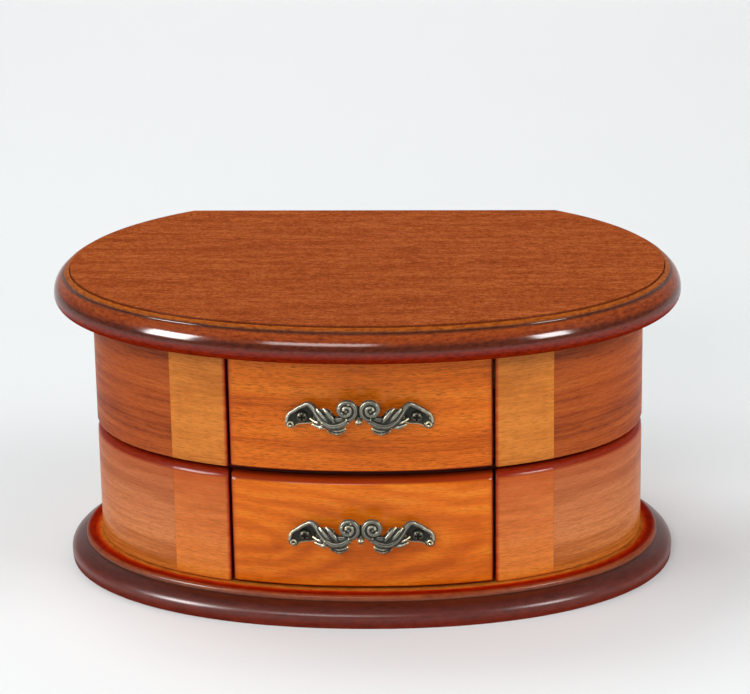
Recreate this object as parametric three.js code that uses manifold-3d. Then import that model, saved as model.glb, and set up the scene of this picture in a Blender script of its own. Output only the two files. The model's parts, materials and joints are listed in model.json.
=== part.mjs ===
// Musical jewelry box: an oval box with a straight, flat back, a moulded lid, two curved drawers,
// side blocks glued up from staves, and a wind-up musical movement behind the upper drawer.
// Millimetres, +Z up, the front faces -Y. The origin is on the floor, in the middle of the width.

import * as THREE from 'three';
import { mergeVertices } from 'three/addons/utils/BufferGeometryUtils.js';
import Module from 'manifold-3d';

const wasm = await Module();
wasm.setup();

// Clearances
const fit_gap = 0.3;          // glued or screwed pieces that are cut to a curved neighbour
const running_gap = 0.6;      // between a drawer box and the boards beside it
const lid_gap = 0.3;          // under the closed lid
const overrun = 4;            // cutting solids run this far past what they cut

// Plan of the body: a full oval in front, a rounder one behind, cut straight by the back plane
const body_half_width = 127.6;
const body_front_depth = 78.7;
const body_rear_depth = 93.3;
const front_fullness = 2.12;  // exponent of the front curve, 2 is an ellipse
const rear_fullness = 1.96;
const back_flat = 15.3;        // the flat back lies this far in from the full oval

// Heights
const felt_thickness = 1;
const base_height = 16;
const groove_bottom = 70;
const shelf_thickness = 2.2;
const body_top = 129;
const lid_thickness = 16.8;

// Base slab
const base_ledge_width = 6.2;
const base_ledge_round = 1.5;
const base_quirk = 1;         // small step under the ledge's rounded edge
const base_bulge = 14.8;      // widest place, out from the body
const base_bulge_height = 7.5;
const base_foot_bulge = 13.4;
const felt_inset = 4;

// Side blocks
const block_thickness = 10;
const block_edge_round = 1.2;
const lower_block_top_round = 3.8;
const opening_half_width = 60;
const stave_seam = 0.3;
const stave_seam_x = 86.3;      // the seam between the two staves of a block

// Boards inside
const back_thickness = 6;
const wall_thickness = 4;
const wall_end_gap = 0.8;
const shelf_edge_inset = 4.5;
const movement_bay_depth = 34;  // between the partition and the back panel
const partition_thickness = 3;
const inner_top = 123.5;      // upper edge of the bay walls and the partition
const tray_floor_top = 109.5;
const tray_floor_thickness = 3;
const lining_thickness = 1;
const lining_edge_gap = 1;

// Drawers
const drawer_side_gap = 1.2;
const drawer_edge_gap = 0.9;
const drawer_edge_round = 1.2;
const lower_drawer_top_round = 3.8;
const drawer_front_thickness = 16.7;  // in the middle of the bow
const drawer_board = 5;
const drawer_bottom_thickness = 3;
const upper_box_height = 30;
const lower_box_height = 46;
const upper_drawer_rear_gap = 2;
const lower_drawer_rear_gap = 6;

// Lid
const lid_panel_set_in = 9.6;     // lid panel edge, out from the body
const lid_panel_step = 1;
const lid_ledge_width = 3.2;
const lid_ledge_fall = 0.6;
const lid_quirk = 1.2;
const lid_bulge = 17.4;
const lid_bulge_drop = 11.4;
const lid_under_bulge = 12.1;
const lid_panel_thickness = 4;
const lid_frame_inset = 7;        // inner edge of the frame, in from the body outline
const lid_back_rail = 14;
const mirror_thickness = 3;
const mirror_clearance = 0.5;

// Hinges
const hinge_end_inset = 20;       // from the end of the back panel to the middle of a hinge
const hinge_width = 30;
const hinge_leaf_height = 12;
const hinge_leaf_thickness = 1.2;
const hinge_knuckle_radius = 2.3;
const hinge_pin_radius = 1;
const hinge_knuckle_gap = 0.3;

// Scroll handles
const handle_hole_spacing = 51;
const handle_reach = 8.4;         // how far the scrolls stand off the ears
const scroll_offset = 5.6;
const scroll_rise = 3.9;
const scroll_radius = 3.3;
const scroll_eye_radius = 1.1;
const scroll_tube_radius = 1.4;
const scroll_turns = 1.4;
const stem_radius = 1.8;
const web_radius = 2.4;           // the body of the casting under its ribs
const shoulder_rise = 6;
const rib_radius = 1.1;
const ear_thickness = 2.4;
const ear_inset = 6;              // from the screw to the ear's inner end
const ear_softening = 0.5;
const ear_curl_radius = 2.2;
const leaf_length = 9;
const leaf_height = 5;
const leaf_thickness = 3;
const leaf_rib_radius = 0.8;
const drop_radius = 1.6;
const drop_length = 4.6;
const upper_handle_z = 100.5;
const lower_handle_z = 43.5;
const screw_head_radius = 2.7;
const screw_head_height = 1.3;
const screw_shank_radius = 1.25;
const screw_length = 13;
const screw_slot_width = 0.7;
const screw_slot_depth = 0.6;

// Musical movement
const movement_x = -20;           // winding arbor
const movement_z = 103;
const plate_left = 16;
const plate_right = 54;
const plate_below = 25;
const plate_above = 15;
const plate_thickness = 3;
const axle_height = 11;           // cylinder axis above the bedplate
const wheel_radius = 13;
const wheel_teeth = 34;
const wheel_rim = 1.6;
const wheel_tooth_height = 2;
const wheel_tooth_width = 0.8;
const housing_radius = 10.6;
const housing_height = 11;
const pinion_teeth = 10;
const pinion_radius = 3.6;
const pinion_width = 2.4;
const cylinder_radius = 6.5;
const cylinder_length = 22;
const note_count = 18;
const pin_radius = 0.22;
const pin_height = 0.6;
const pins_per_note = 3;
const tune_places = 41;
const tune_row_step = 7;
const tune_pin_step = 13;
const axle_radius = 0.9;
const bearing_gap = 0.3;
const post_thickness = 2;
const train_gear_radius = 6.2;
const train_gear_teeth = 30;
const train_gear_width = 1.8;
const governor_pinion_radius = 2.05;
const governor_pinion_teeth = 10;
const mesh_clearance = 0.35;
const tooth_depth = 0.8;
const worm_wheel_radius = 3.4;
const worm_wheel_teeth = 20;
const worm_radius = 1.1;
const fly_radius = 4.2;
const fly_width = 4;
const fly_thickness = 0.8;
const comb_tip_gap = 1.1;
const comb_length = 17;
const comb_root = 7;
const comb_thickness = 1.2;
const comb_slot = 0.35;
const comb_screw_radius = 1.6;
const arbor_radius = 1.6;
const arbor_reach = 9;            // outside the back panel
const key_span = 24;
const key_lobe_radius = 6.2;
const key_lobe_hole = 3.2;
const key_thickness = 1.6;
const key_hub_radius = 3.2;
const key_hub_length = 9;
const cover_thickness = 2;
const stop_pin_radius = 1;
const stop_pin_cap_radius = 2;
const stop_pin_cap_height = 1;
const stop_pin_stand = 3;         // in front of the bedplate

// Ring rolls
const ring_roll_radius = 6.5;
const ring_roll_pitch = 15;
const ring_roll_flat = 1.2;
const ring_roll_end_gap = 1;

// Facets
const plan_steps = 38;
const stave_steps = 9;
const round_steps = 3;
const lid_arc_steps = 5;
const round_sides = 20;
const small_sides = 10;
const rod_sides = 6;
const rib_sides = 4;
const ear_steps = 13;
const stem_steps = 12;
const scroll_steps = 10;
const rib_steps = 2;
const dome_steps = 4;
const pin_sides = 3;
const drawer_steps = 16;
const arc_samples = 60;
const solve_steps = 50;

// Heights and places that follow from the sizes above
const groove_top = groove_bottom + shelf_thickness;
const lid_bottom = body_top + lid_gap;
const lid_top = lid_bottom + lid_thickness;
const back_y = body_rear_depth - back_flat;
const panel_face_y = back_y - back_thickness;
const partition_y = panel_face_y - movement_bay_depth;
const drawer_back_face_y = drawer_front_thickness - body_front_depth;
const upper_drawer_rear_y = partition_y - upper_drawer_rear_gap;
const lower_drawer_rear_y = panel_face_y - lower_drawer_rear_gap;
const plate_face_y = panel_face_y - plate_thickness;
const axle_y = plate_face_y - axle_height;
const fly_start_y = plate_face_y - fly_width - fit_gap;
const stop_pin_y = plate_face_y - stop_pin_stand;
const hinge_axis_y = back_y + hinge_knuckle_radius + hinge_knuckle_gap;
const hinge_axis_z = body_top + lid_gap / 2;

// Materials
const finishes = {
	mahogany: { color: 0x9c4a22, roughness: 0.25, metalness: 0 },
	orange_veneer: { color: 0xc9682a, roughness: 0.25, metalness: 0 },
	dark_stave: { color: 0x8a3c20, roughness: 0.3, metalness: 0 },
	light_stave: { color: 0xb4602e, roughness: 0.3, metalness: 0 },
	maroon_moulding: { color: 0x6a2a22, roughness: 0.25, metalness: 0 },
	stained_edge: { color: 0x3a150c, roughness: 0.5, metalness: 0 },
	inner_board: { color: 0xb98a5c, roughness: 0.6, metalness: 0 },
	velvet: { color: 0x5c1420, roughness: 0.95, metalness: 0 },
	felt: { color: 0x1e4a32, roughness: 0.95, metalness: 0 },
	mirror: { color: 0xe6ecee, roughness: 0.02, metalness: 1 },
	antique_brass: { color: 0x8d8876, roughness: 0.35, metalness: 1 },
	brass: { color: 0xc8a24e, roughness: 0.3, metalness: 1 },
	steel: { color: 0xb8bcc0, roughness: 0.3, metalness: 1 },
	clear: { color: 0xe8f0f2, roughness: 0.05, metalness: 0 },
};

const box = new THREE.Group();

function add(name, geometry, finish) {
	const flat = geometry.index ? geometry.toNonIndexed() : geometry;
	flat.computeVertexNormals();
	const mesh = new THREE.Mesh(flat, new THREE.MeshStandardMaterial(finishes[finish]));
	mesh.name = name;
	box.add(mesh);
	return mesh;
}

// Solids: a closed mesh goes in and out of the boolean library

function toSolid(geometry) {
	const bare = geometry.clone();
	bare.deleteAttribute('normal');
	bare.deleteAttribute('uv');
	const merged = mergeVertices(bare);
	const vertProperties = new Float32Array(merged.attributes.position.array);
	const triVerts = new Uint32Array(merged.index.array);
	return new wasm.Manifold(new wasm.Mesh({ numProp: 3, vertProperties, triVerts }));
}

function fromSolid(solid) {
	const mesh = solid.getMesh();
	const geometry = new THREE.BufferGeometry();
	geometry.setAttribute('position', new THREE.BufferAttribute(new Float32Array(mesh.vertProperties), 3));
	geometry.setIndex(new THREE.BufferAttribute(new Uint32Array(mesh.triVerts), 1));
	return geometry;
}

function join(...geometries) {
	return fromSolid(geometries.map(toSolid).reduce((whole, piece) => whole.add(piece)));
}

function cut(geometry, ...tools) {
	return fromSolid(tools.map(toSolid).reduce((rest, tool) => rest.subtract(tool), toSolid(geometry)));
}

function overlap(geometry, other) {
	return fromSolid(toSolid(geometry).intersect(toSolid(other)));
}

// A board given by its two ends along X, Y and Z
function board(x_span, y_span, z_span) {
	const size = [x_span, y_span, z_span].map(([low, high]) => high - low);
	const middle = [x_span, y_span, z_span].map(([low, high]) => (low + high) / 2);
	return new THREE.BoxGeometry(...size).translate(...middle);
}

// A round bar between two points of one axis line
function bar(start, end, radius, sides = small_sides, end_radius = radius) {
	const direction = end.clone().sub(start);
	const geometry = new THREE.CylinderGeometry(end_radius, radius, direction.length(), sides);
	const turn = new THREE.Quaternion().setFromUnitVectors(
		new THREE.Vector3(0, 1, 0), direction.clone().normalize());
	geometry.applyQuaternion(turn);
	const middle = start.clone().add(end).multiplyScalar(1 / 2);
	return geometry.translate(middle.x, middle.y, middle.z);
}

// A solid through rings of equal point counts, with its two end rings closed by fans
function loft(rings) {
	const count = rings[0].length;
	const points = rings.flat();
	const faces = [];
	for (let ring = 0; ring < rings.length - 1; ring++) {
		for (let i = 0; i < count; i++) {
			const a = ring * count + i;
			const b = ring * count + (i + 1) % count;
			faces.push(a, b, b + count, a, b + count, a + count);
		}
	}
	for (const [ring, order] of [[0, -1], [rings.length - 1, 1]]) {
		const middle = rings[ring].reduce((sum, p) => sum.add(p), new THREE.Vector3());
		points.push(middle.divideScalar(count));
		const centre = points.length - 1;
		for (let i = 0; i < count; i++) {
			const a = ring * count + i;
			const b = ring * count + (i + 1) % count;
			faces.push(...(order > 0 ? [a, b, centre] : [b, a, centre]));
		}
	}
	return outward(points, faces);
}

// Turns a closed mesh so that its faces point out
function outward(points, faces) {
	let volume = 0;
	for (let i = 0; i < faces.length; i += 3) {
		const [a, b, c] = [points[faces[i]], points[faces[i + 1]], points[faces[i + 2]]];
		volume += a.dot(b.clone().cross(c));
	}
	const order = volume < 0 ? [0, 2, 1] : [0, 1, 2];
	const index = [];
	for (let i = 0; i < faces.length; i += 3) {
		index.push(...order.map((k) => faces[i + k]));
	}
	const geometry = new THREE.BufferGeometry().setFromPoints(points);
	geometry.setIndex(index);
	return mergeVertices(geometry);
}

// The plan outline, pushed out by an offset, at an angle from +X; the front is at -90 degrees
function planPoint(angle, offset) {
	const front = Math.sin(angle) < 0;
	const depth = front ? body_front_depth : body_rear_depth;
	const fullness = front ? front_fullness : rear_fullness;
	const power = (value, exponent) => Math.sign(value) * Math.abs(value) ** exponent;
	const x = body_half_width * power(Math.cos(angle), 2 / fullness);
	const y = depth * power(Math.sin(angle), 2 / fullness);
	const slope_x = power(x / body_half_width, fullness - 1) / body_half_width;
	const slope_y = power(y / depth, fullness - 1) / depth;
	const steepness = Math.hypot(slope_x, slope_y);
	return { x: x + offset * slope_x / steepness, y: y + offset * slope_y / steepness };
}

// Halves an interval until the test changes sign inside it
function solve(test, low, high) {
	for (let step = 0; step < solve_steps; step++) {
		const middle = (low + high) / 2;
		if (Math.sign(test(middle)) === Math.sign(test(low))) {
			low = middle;
		} else {
			high = middle;
		}
	}
	return (low + high) / 2;
}

function backAngle(offset, cut_y = back_y) {
	return solve((angle) => planPoint(angle, offset).y - cut_y, 0, Math.PI / 2);
}

function frontAngle(x, offset) {
	return solve((angle) => planPoint(angle, offset).x - x, -Math.PI, 0);
}

function frontY(x, offset) {
	return planPoint(frontAngle(x, offset), offset).y;
}

function rearY(x, offset) {
	return planPoint(solve((angle) => planPoint(angle, offset).x - x, 0, Math.PI / 2), offset).y;
}

// One level of a slab: the outline at an offset, cut straight at the back
function planRing(offset, z, cut_y = back_y, steps = plan_steps) {
	const start = backAngle(offset, cut_y);
	const sweep = 2 * start + Math.PI;
	const ring = [];
	for (let i = 0; i <= steps; i++) {
		const { x, y } = planPoint(start - sweep * i / steps, offset);
		ring.push(new THREE.Vector3(x, i === 0 || i === steps ? cut_y : y, z));
	}
	return ring;
}

// A slab with a moulded edge: a list of [offset, height] from the bottom up
function slab(profile, cut_y = back_y, steps = plan_steps) {
	return loft(profile.map(([offset, z]) => planRing(offset, z, cut_y, steps)));
}

// Points on an elliptic arc of a moulding, from one angle to another
function mouldingArc(centre, radii, from, to, steps) {
	const points = [];
	for (let i = 0; i <= steps; i++) {
		const angle = from + (to - from) * i / steps;
		points.push([centre[0] + radii[0] * Math.cos(angle), centre[1] + radii[1] * Math.sin(angle)]);
	}
	return points;
}

const quarter = Math.PI / 2;

// Base: felt, and a slab with a flat ledge, a rounded arris, a quirk and a bullnose
function makeBase() {
	const ledge_edge = base_ledge_width + base_ledge_round;
	const shoulder_z = base_height - base_ledge_round - base_quirk;
	const upper_height = (shoulder_z - base_bulge_height) / Math.sin(1);
	const upper_reach = (base_bulge - ledge_edge) / (1 - Math.cos(1));
	const centre = base_bulge - upper_reach;
	const foot_z = felt_thickness;
	const lower = mouldingArc([base_foot_bulge, base_bulge_height],
		[base_bulge - base_foot_bulge, base_bulge_height - foot_z], -quarter, 0, round_steps);
	const upper = mouldingArc([centre, base_bulge_height], [upper_reach, upper_height], 0, 1, lid_arc_steps);
	const arris = mouldingArc([base_ledge_width, base_height - base_ledge_round],
		[base_ledge_round, base_ledge_round], 0, quarter, round_steps);
	add('base_plinth', slab([...lower, ...upper.slice(1), ...arris]), 'maroon_moulding');
	const felt_edge = base_foot_bulge - felt_inset;
	const felt_back = back_y - felt_inset;
	add('base_felt', slab([[felt_edge, 0], [felt_edge, felt_thickness]], felt_back), 'felt');
}

// One stave: a wall along the outline with its outer edges rounded over. A rounded start is the end
// beside the drawer, cut square to the front
function stave(from_angle, to_angle, bottom, top, top_round, round_start) {
	const lengths = [0];
	const angleAt = (i) => from_angle + (to_angle - from_angle) * i / arc_samples;
	for (let i = 1; i <= arc_samples; i++) {
		const a = planPoint(angleAt(i - 1), 0);
		const b = planPoint(angleAt(i), 0);
		lengths.push(lengths[i - 1] + Math.hypot(b.x - a.x, b.y - a.y));
	}
	const whole = lengths[arc_samples];
	const angleOf = (distance) => {
		const i = Math.max(1, lengths.findIndex((length) => length >= distance));
		const share = (distance - lengths[i - 1]) / (lengths[i] - lengths[i - 1]);
		return angleAt(i - 1 + Math.min(share, 1));
	};
	const first_round_share = 0.3;
	const rounds = [];
	for (let i = 0; i <= round_steps; i++) {
		const turn = quarter * (first_round_share + (1 - first_round_share) * i / round_steps);
		rounds.push([block_edge_round * (1 - Math.cos(turn)), block_edge_round * (1 - Math.sin(turn))]);
	}
	const [first] = rounds[0];
	const head = round_start ? rounds.map(([distance, inset]) => [distance - first, inset]) : [[0, 0]];
	const run_start = head.at(-1)[0];
	const run = whole - run_start;
	const body = [];
	for (let i = 1; i <= stave_steps; i++) {
		body.push([run_start + run * i / stave_steps, 0]);
	}
	const rings = [...head, ...body].map(([distance, inset]) => {
		const angle = angleOf(distance);
		const low = block_edge_round - inset;
		const high = top_round - inset;
		const section = [
			[-block_thickness, bottom + inset],
			...mouldingArc([-block_edge_round, bottom + block_edge_round], [low, low], -quarter, 0, round_steps),
			...mouldingArc([-top_round, top - top_round], [high, high], 0, quarter, round_steps),
			[-block_thickness, top - inset],
		];
		const outer_x = planPoint(angle, 0).x;
		const squareness = round_start ? 1 - distance / whole : 0;
		return section.map(([offset, z]) => {
			const square_angle = squareness ? frontAngle(outer_x, offset) : angle;
			const { x, y } = planPoint(angle + (square_angle - angle) * squareness, offset);
			return new THREE.Vector3(x, y, z);
		});
	});
	return loft(rings);
}

// Side blocks: two staves each, the lighter one beside the drawer
function makeBlocks() {
	const levels = {
		upper: [groove_top, body_top, block_edge_round],
		lower: [base_height, groove_bottom, lower_block_top_round],
	};
	for (const [level, [bottom, top, top_round]] of Object.entries(levels)) {
		for (const side of ['left', 'right']) {
			const mirror = side === 'left' ? -1 : 1;
			const opening = frontAngle(opening_half_width, 0);
			const seam = frontAngle(stave_seam_x, 0);
			const here = planPoint(seam, 0);
			const next = planPoint(seam + 1 / plan_steps, 0);
			const seam_angle = stave_seam / plan_steps / Math.hypot(next.x - here.x, next.y - here.y);
			const front = stave(opening, seam - seam_angle / 2, bottom, top, top_round, true);
			const past_back = solve((angle) => planPoint(angle, -block_thickness).y - back_y - fit_gap, 0, quarter);
			const rough = stave(seam + seam_angle / 2, past_back, bottom, top, top_round, false);
			const back_cut = board([0, body_half_width], [back_y - fit_gap, back_y + body_rear_depth],
				[bottom - overrun, top + overrun]);
			const panel_cut = board([0, panel_half_width + fit_gap], [panel_face_y - fit_gap, back_y + overrun],
				[bottom - overrun, top + overrun]);
			const rear_stave = cut(rough, back_cut, panel_cut);
			for (const [name, shape, finish] of [
				['front', front, 'light_stave'], ['side', rear_stave, 'dark_stave']]) {
				const placed = mirror < 0 ? mirrored(shape) : shape;
				add(`${level}_${side}_${name}_stave`, placed, finish);
			}
		}
	}
}

// The same solid on the other side of the middle plane
function mirrored(geometry) {
	const twin = (geometry.index ? geometry : mergeVertices(geometry)).clone();
	twin.scale(-1, 1, 1);
	const index = Array.from(twin.index.array);
	for (let i = 0; i < index.length; i += 3) {
		[index[i + 1], index[i + 2]] = [index[i + 2], index[i + 1]];
	}
	twin.setIndex(index);
	return twin;
}

// Boards inside the body
const bay_wall_front = frontY(opening_half_width + wall_thickness, -block_thickness) + fit_gap;
const bay_wall_rear = Math.min(rearY(opening_half_width + wall_thickness, -block_thickness) - wall_end_gap,
	panel_face_y - wall_end_gap);
const wall_x = [opening_half_width, opening_half_width + wall_thickness];
const panel_angle = solve((angle) => planPoint(angle, -block_thickness).y - panel_face_y, 0, quarter);
const panel_half_width = planPoint(panel_angle, -block_thickness).x;
const hinge_x = panel_half_width - hinge_end_inset;

function makeCarcass() {
	const arbor_hole = bar(
		new THREE.Vector3(movement_x, panel_face_y - overrun, movement_z),
		new THREE.Vector3(movement_x, back_y + overrun, movement_z),
		arbor_radius + fit_gap * 2, round_sides);
	const panel = board([-panel_half_width, panel_half_width], [panel_face_y, back_y], [base_height, body_top]);
	const shelf_back = panel_face_y - fit_gap;
	const shelf = slab([[-shelf_edge_inset, groove_bottom], [-shelf_edge_inset, groove_top]], shelf_back);
	const slots = [-1, 1].map((side) => board(
		wall_x.map((x) => side * x).sort((a, b) => a - b).map((x, i) => x + (i ? fit_gap : -fit_gap)),
		[bay_wall_front - fit_gap, bay_wall_rear + overrun],
		[groove_bottom - overrun, groove_top + overrun]));
	add('back_panel', cut(panel, arbor_hole), 'mahogany');
	const front_slots = slots.map((slot) => overlap(slot, board(
		[-body_half_width, body_half_width],
		[-body_front_depth, shelf_back - wall_thickness * 2],
		[0, body_top])));
	add('middle_shelf', cut(shelf, ...front_slots), 'stained_edge');
	for (const [name, side] of [['left', -1], ['right', 1]]) {
		const span = wall_x.map((x) => side * x).sort((a, b) => a - b);
		const wall = board(span, [bay_wall_front, bay_wall_rear], [base_height, inner_top]);
		const housing = board([span[0] - overrun, span[1] + overrun],
			[shelf_back - wall_thickness * 2 - fit_gap, bay_wall_rear + overrun],
			[groove_bottom - fit_gap, groove_top + fit_gap]);
		add(`${name}_bay_wall`, cut(wall, housing), 'inner_board');
	}
	const between = [-opening_half_width, opening_half_width];
	add('rear_partition', board(between, [partition_y, partition_y + partition_thickness],
		[groove_top, inner_top]), 'inner_board');
	const lip_front = drawer_back_face_y + running_gap;
	const tray_bottom = tray_floor_top - tray_floor_thickness;
	const lip = [lip_front, lip_front + partition_thickness];
	const tray = join(board(between, [lip_front, partition_y], [tray_bottom, tray_floor_top]),
		board(between, lip, [tray_bottom, inner_top]));
	add('tray_board', tray, 'inner_board');
}

// Drawers: a bowed solid front, and a box of thin boards behind it
function drawerFront(bottom, top, top_round) {
	const half = opening_half_width - drawer_side_gap;
	const rings = [];
	for (let i = 0; i <= drawer_steps; i++) {
		const x = -half + 2 * half * i / drawer_steps;
		const y = frontY(x, 0);
		const edge = mouldingArc([-drawer_edge_round, bottom + drawer_edge_round],
			[drawer_edge_round, drawer_edge_round], -quarter, 0, round_steps);
		const shoulder = mouldingArc([-top_round, top - top_round], [top_round, top_round],
			0, quarter, round_steps);
		const section = [[drawer_back_face_y, bottom],
			...[...edge, ...shoulder].map(([offset, z]) => [y - offset, z]), [drawer_back_face_y, top]];
		rings.push(section.map(([depth, z]) => new THREE.Vector3(x, depth, z)));
	}
	return loft(rings);
}

const handle_places = { upper: upper_handle_z, lower: lower_handle_z };

function makeDrawer(level, bottom, top, top_round, box_height, rear_y) {
	const hole_x = handle_hole_spacing / 2;
	const holes = [-hole_x, hole_x].map((x) => bar(
		new THREE.Vector3(x, -body_front_depth - overrun, handle_places[level]),
		new THREE.Vector3(x, drawer_back_face_y + overrun, handle_places[level]),
		screw_shank_radius + fit_gap));
	add(`${level}_drawer_front`, cut(drawerFront(bottom, top, top_round), ...holes), 'orange_veneer');
	const floor = bottom;
	const half = opening_half_width - running_gap;
	const inner = half - drawer_board;
	const box_top = floor + box_height;
	const back = [rear_y - drawer_board, rear_y];
	const depth = [drawer_back_face_y, rear_y];
	add(`${level}_drawer_left_side`, board([-half, -inner], depth, [floor, box_top]), 'inner_board');
	add(`${level}_drawer_right_side`, board([inner, half], depth, [floor, box_top]), 'inner_board');
	add(`${level}_drawer_back`, board([-inner, inner], back, [floor, box_top]), 'inner_board');
	const inside = [drawer_back_face_y, back[0]];
	const bottom_top = floor + drawer_bottom_thickness;
	add(`${level}_drawer_bottom`, board([-inner, inner], inside, [floor, bottom_top]), 'inner_board');
	add(`${level}_drawer_lining`, board([-inner + fit_gap, inner - fit_gap],
		[inside[0] + fit_gap, inside[1] - fit_gap], [bottom_top, bottom_top + lining_thickness]), 'velvet');
}

// Scroll handles

// A tapered bar of round section along a smooth curve
function tapered(points, radii, steps, sides = rod_sides) {
	const curve = new THREE.CatmullRomCurve3(points);
	const frames = curve.computeFrenetFrames(steps, false);
	const rings = [];
	for (let i = 0; i <= steps; i++) {
		const centre = curve.getPointAt(i / steps);
		const place = i / steps * (radii.length - 1);
		const low = Math.min(Math.floor(place), radii.length - 2);
		const radius = radii[low] + (radii[low + 1] - radii[low]) * (place - low);
		const ring = [];
		for (let k = 0; k < sides; k++) {
			const turn = 2 * Math.PI * k / sides;
			ring.push(centre.clone()
				.addScaledVector(frames.normals[i], radius * Math.cos(turn))
				.addScaledVector(frames.binormals[i], radius * Math.sin(turn)));
		}
		rings.push(ring);
	}
	return loft(rings);
}

// Handle places: right from the middle, up from the screws, out from the drawer face
const at = (right, up, out) => new THREE.Vector3(right, -out, up);

// One strand of the casting, through places given as shares of the hole distance, shoulder and reach
function strand(shares, radii, steps, sides = rod_sides) {
	const hole = handle_hole_spacing / 2;
	const places = shares.map(([right, up, out]) => at(right * hole, up * shoulder_rise, out * handle_reach));
	return tapered(places, radii, steps, sides);
}

// The scroll starts under its eye and first runs towards the middle of the handle
function scrollSweep() {
	const sweep = [];
	for (let i = 0; i <= scroll_steps; i++) {
		const share = i / scroll_steps;
		const angle = -quarter - 2 * Math.PI * scroll_turns * share;
		const radius = scroll_radius + (scroll_eye_radius - scroll_radius) * share;
		sweep.push(at(scroll_offset + radius * Math.cos(angle), scroll_rise + radius * Math.sin(angle),
			handle_reach + scroll_tube_radius * share));
	}
	return sweep;
}

// Ear: a wing-shaped plate round the screw, with a curl at its lower tip
function makeEar() {
	const hole = handle_hole_spacing / 2;
	const outline_shares = [
		[0.8, 0.85], [0.886, 1.03], [0.996, 0.87], [1.137, 0.5], [1.263, 0], [1.302, -0.5],
		[1.26, -0.9], [1.17, -0.98], [1.09, -0.72], [0.95, -0.62], [0.8, -0.5],
	];
	const inner = [[1 - ear_inset / hole, -0.1], [1 - ear_inset / hole, 0.5]];
	const corners = [...outline_shares, ...inner].map(
		([right, up]) => new THREE.Vector3(right * hole, up * shoulder_rise, 0));
	const outline = new THREE.CatmullRomCurve3(corners, true).getPoints(ear_steps);
	const shape = new THREE.Shape(outline.slice(1).map(({ x, y }) => new THREE.Vector2(x, y)));
	const plate = new THREE.ExtrudeGeometry(shape, {
		depth: 2 * (ear_thickness - ear_softening), bevelThickness: ear_softening, bevelSize: ear_softening,
		bevelOffset: -ear_softening, bevelSegments: 1, steps: 1,
	});
	plate.translate(0, 0, ear_softening - ear_thickness).rotateX(quarter);
	const curl = ([right, up], out) => at(right * hole, up * shoulder_rise, out);
	const curl_shares = [1.215, -0.6];
	const curl_start = curl(curl_shares, -ear_thickness);
	const curl_end = curl(curl_shares, ear_thickness + ear_softening * 2);
	return join(plate, bar(curl_start, curl_end, ear_curl_radius, small_sides, ear_curl_radius - ear_softening));
}

function handleHalf() {
	const sweep = scrollSweep();
	const scaled = (shares, radius) => shares.map((share) => share * radius);
	const stem_shares = [
		[1.27, -0.43, 0.27], [1.25, 0.07, 0.27], [1.11, 0.53, 0.29], [0.97, 0.88, 0.31],
		[0.875, 1.02, 0.36], [0.79, 0.77, 0.46], [0.706, 0.27, 0.63], [0.604, -0.17, 0.81],
		[0.486, -0.38, 0.95], [0.36, -0.37, 1.01],
	];
	const hole = handle_hole_spacing / 2;
	const stem = stem_shares.map(
		([right, up, out]) => at(right * hole, up * shoulder_rise, out * handle_reach));
	const stem_radius_shares = [0.45, 0.45, 0.5, 0.6, 0.75, 0.85, 0.95, 1, 1, 0.95];
	const stem_radii = scaled(stem_radius_shares, stem_radius);
	const web_radius_shares = [0.7, 0.75, 1, 1];
	const rib_radius_shares = [0.8, 1, 0.6];
	const leaf_rib_radius_shares = [0.6, 1.2, 0.6];
	const [tip_share, eye_share] = [0.72, 1.15];
	const web_shares = [[0.157, 0.2, 0.89], [0.39, 0.07, 0.89], [0.59, 0.13, 0.71], [0.75, 0.2, 0.42]];
	const leaf_place_shares = [0.39, -0.72, 0.93];
	const leaf = new THREE.SphereGeometry(1, rod_sides, dome_steps);
	leaf.scale(leaf_length / 2, leaf_thickness / 2, leaf_height / 2);
	const leaf_place = at(hole * leaf_place_shares[0], shoulder_rise * leaf_place_shares[1],
		handle_reach * leaf_place_shares[2]);
	const pieces = [
		makeEar(),
		tapered([...stem, sweep[1], sweep[2]], [...stem_radii, scroll_tube_radius], stem_steps),
		tapered(sweep, [scroll_tube_radius, scroll_tube_radius * tip_share], scroll_steps),
		new THREE.SphereGeometry(scroll_eye_radius * eye_share, rod_sides, dome_steps)
			.translate(...at(scroll_offset, scroll_rise, handle_reach + scroll_tube_radius / 2).toArray()),
		strand(web_shares, scaled(web_radius_shares, web_radius), rib_steps),
		leaf.translate(leaf_place.x, leaf_place.y, leaf_place.z),
	];
	// Two acanthus ribs over the stem and one under it
	const rib_shares = [
		[[0.376, -0.1, 0.976], [0.47, 0.37, 0.94], [0.604, 0.77, 0.786]],
		[[0.494, -0.13, 0.94], [0.61, 0.27, 0.83], [0.714, 0.67, 0.667]],
		[[0.51, -0.43, 0.9], [0.667, -0.6, 0.71], [0.82, -0.5, 0.45]],
	];
	for (const shares of rib_shares) {
		pieces.push(strand(shares, scaled(rib_radius_shares, rib_radius), rib_steps, rib_sides));
	}
	// Three ribs across the leaf under the scroll
	const leaf_rib_shares = [
		[[0.22, -0.57, 0.99], [0.39, -0.68, 1.05], [0.57, -0.43, 0.9]],
		[[0.243, -0.77, 0.95], [0.39, -0.92, 1.01], [0.545, -0.65, 0.88]],
		[[0.29, -0.95, 0.9], [0.39, -1.05, 0.94], [0.494, -0.87, 0.86]],
	];
	for (const shares of leaf_rib_shares) {
		pieces.push(strand(shares, scaled(leaf_rib_radius_shares, leaf_rib_radius), rib_steps, rib_sides));
	}
	return join(...pieces);
}

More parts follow.
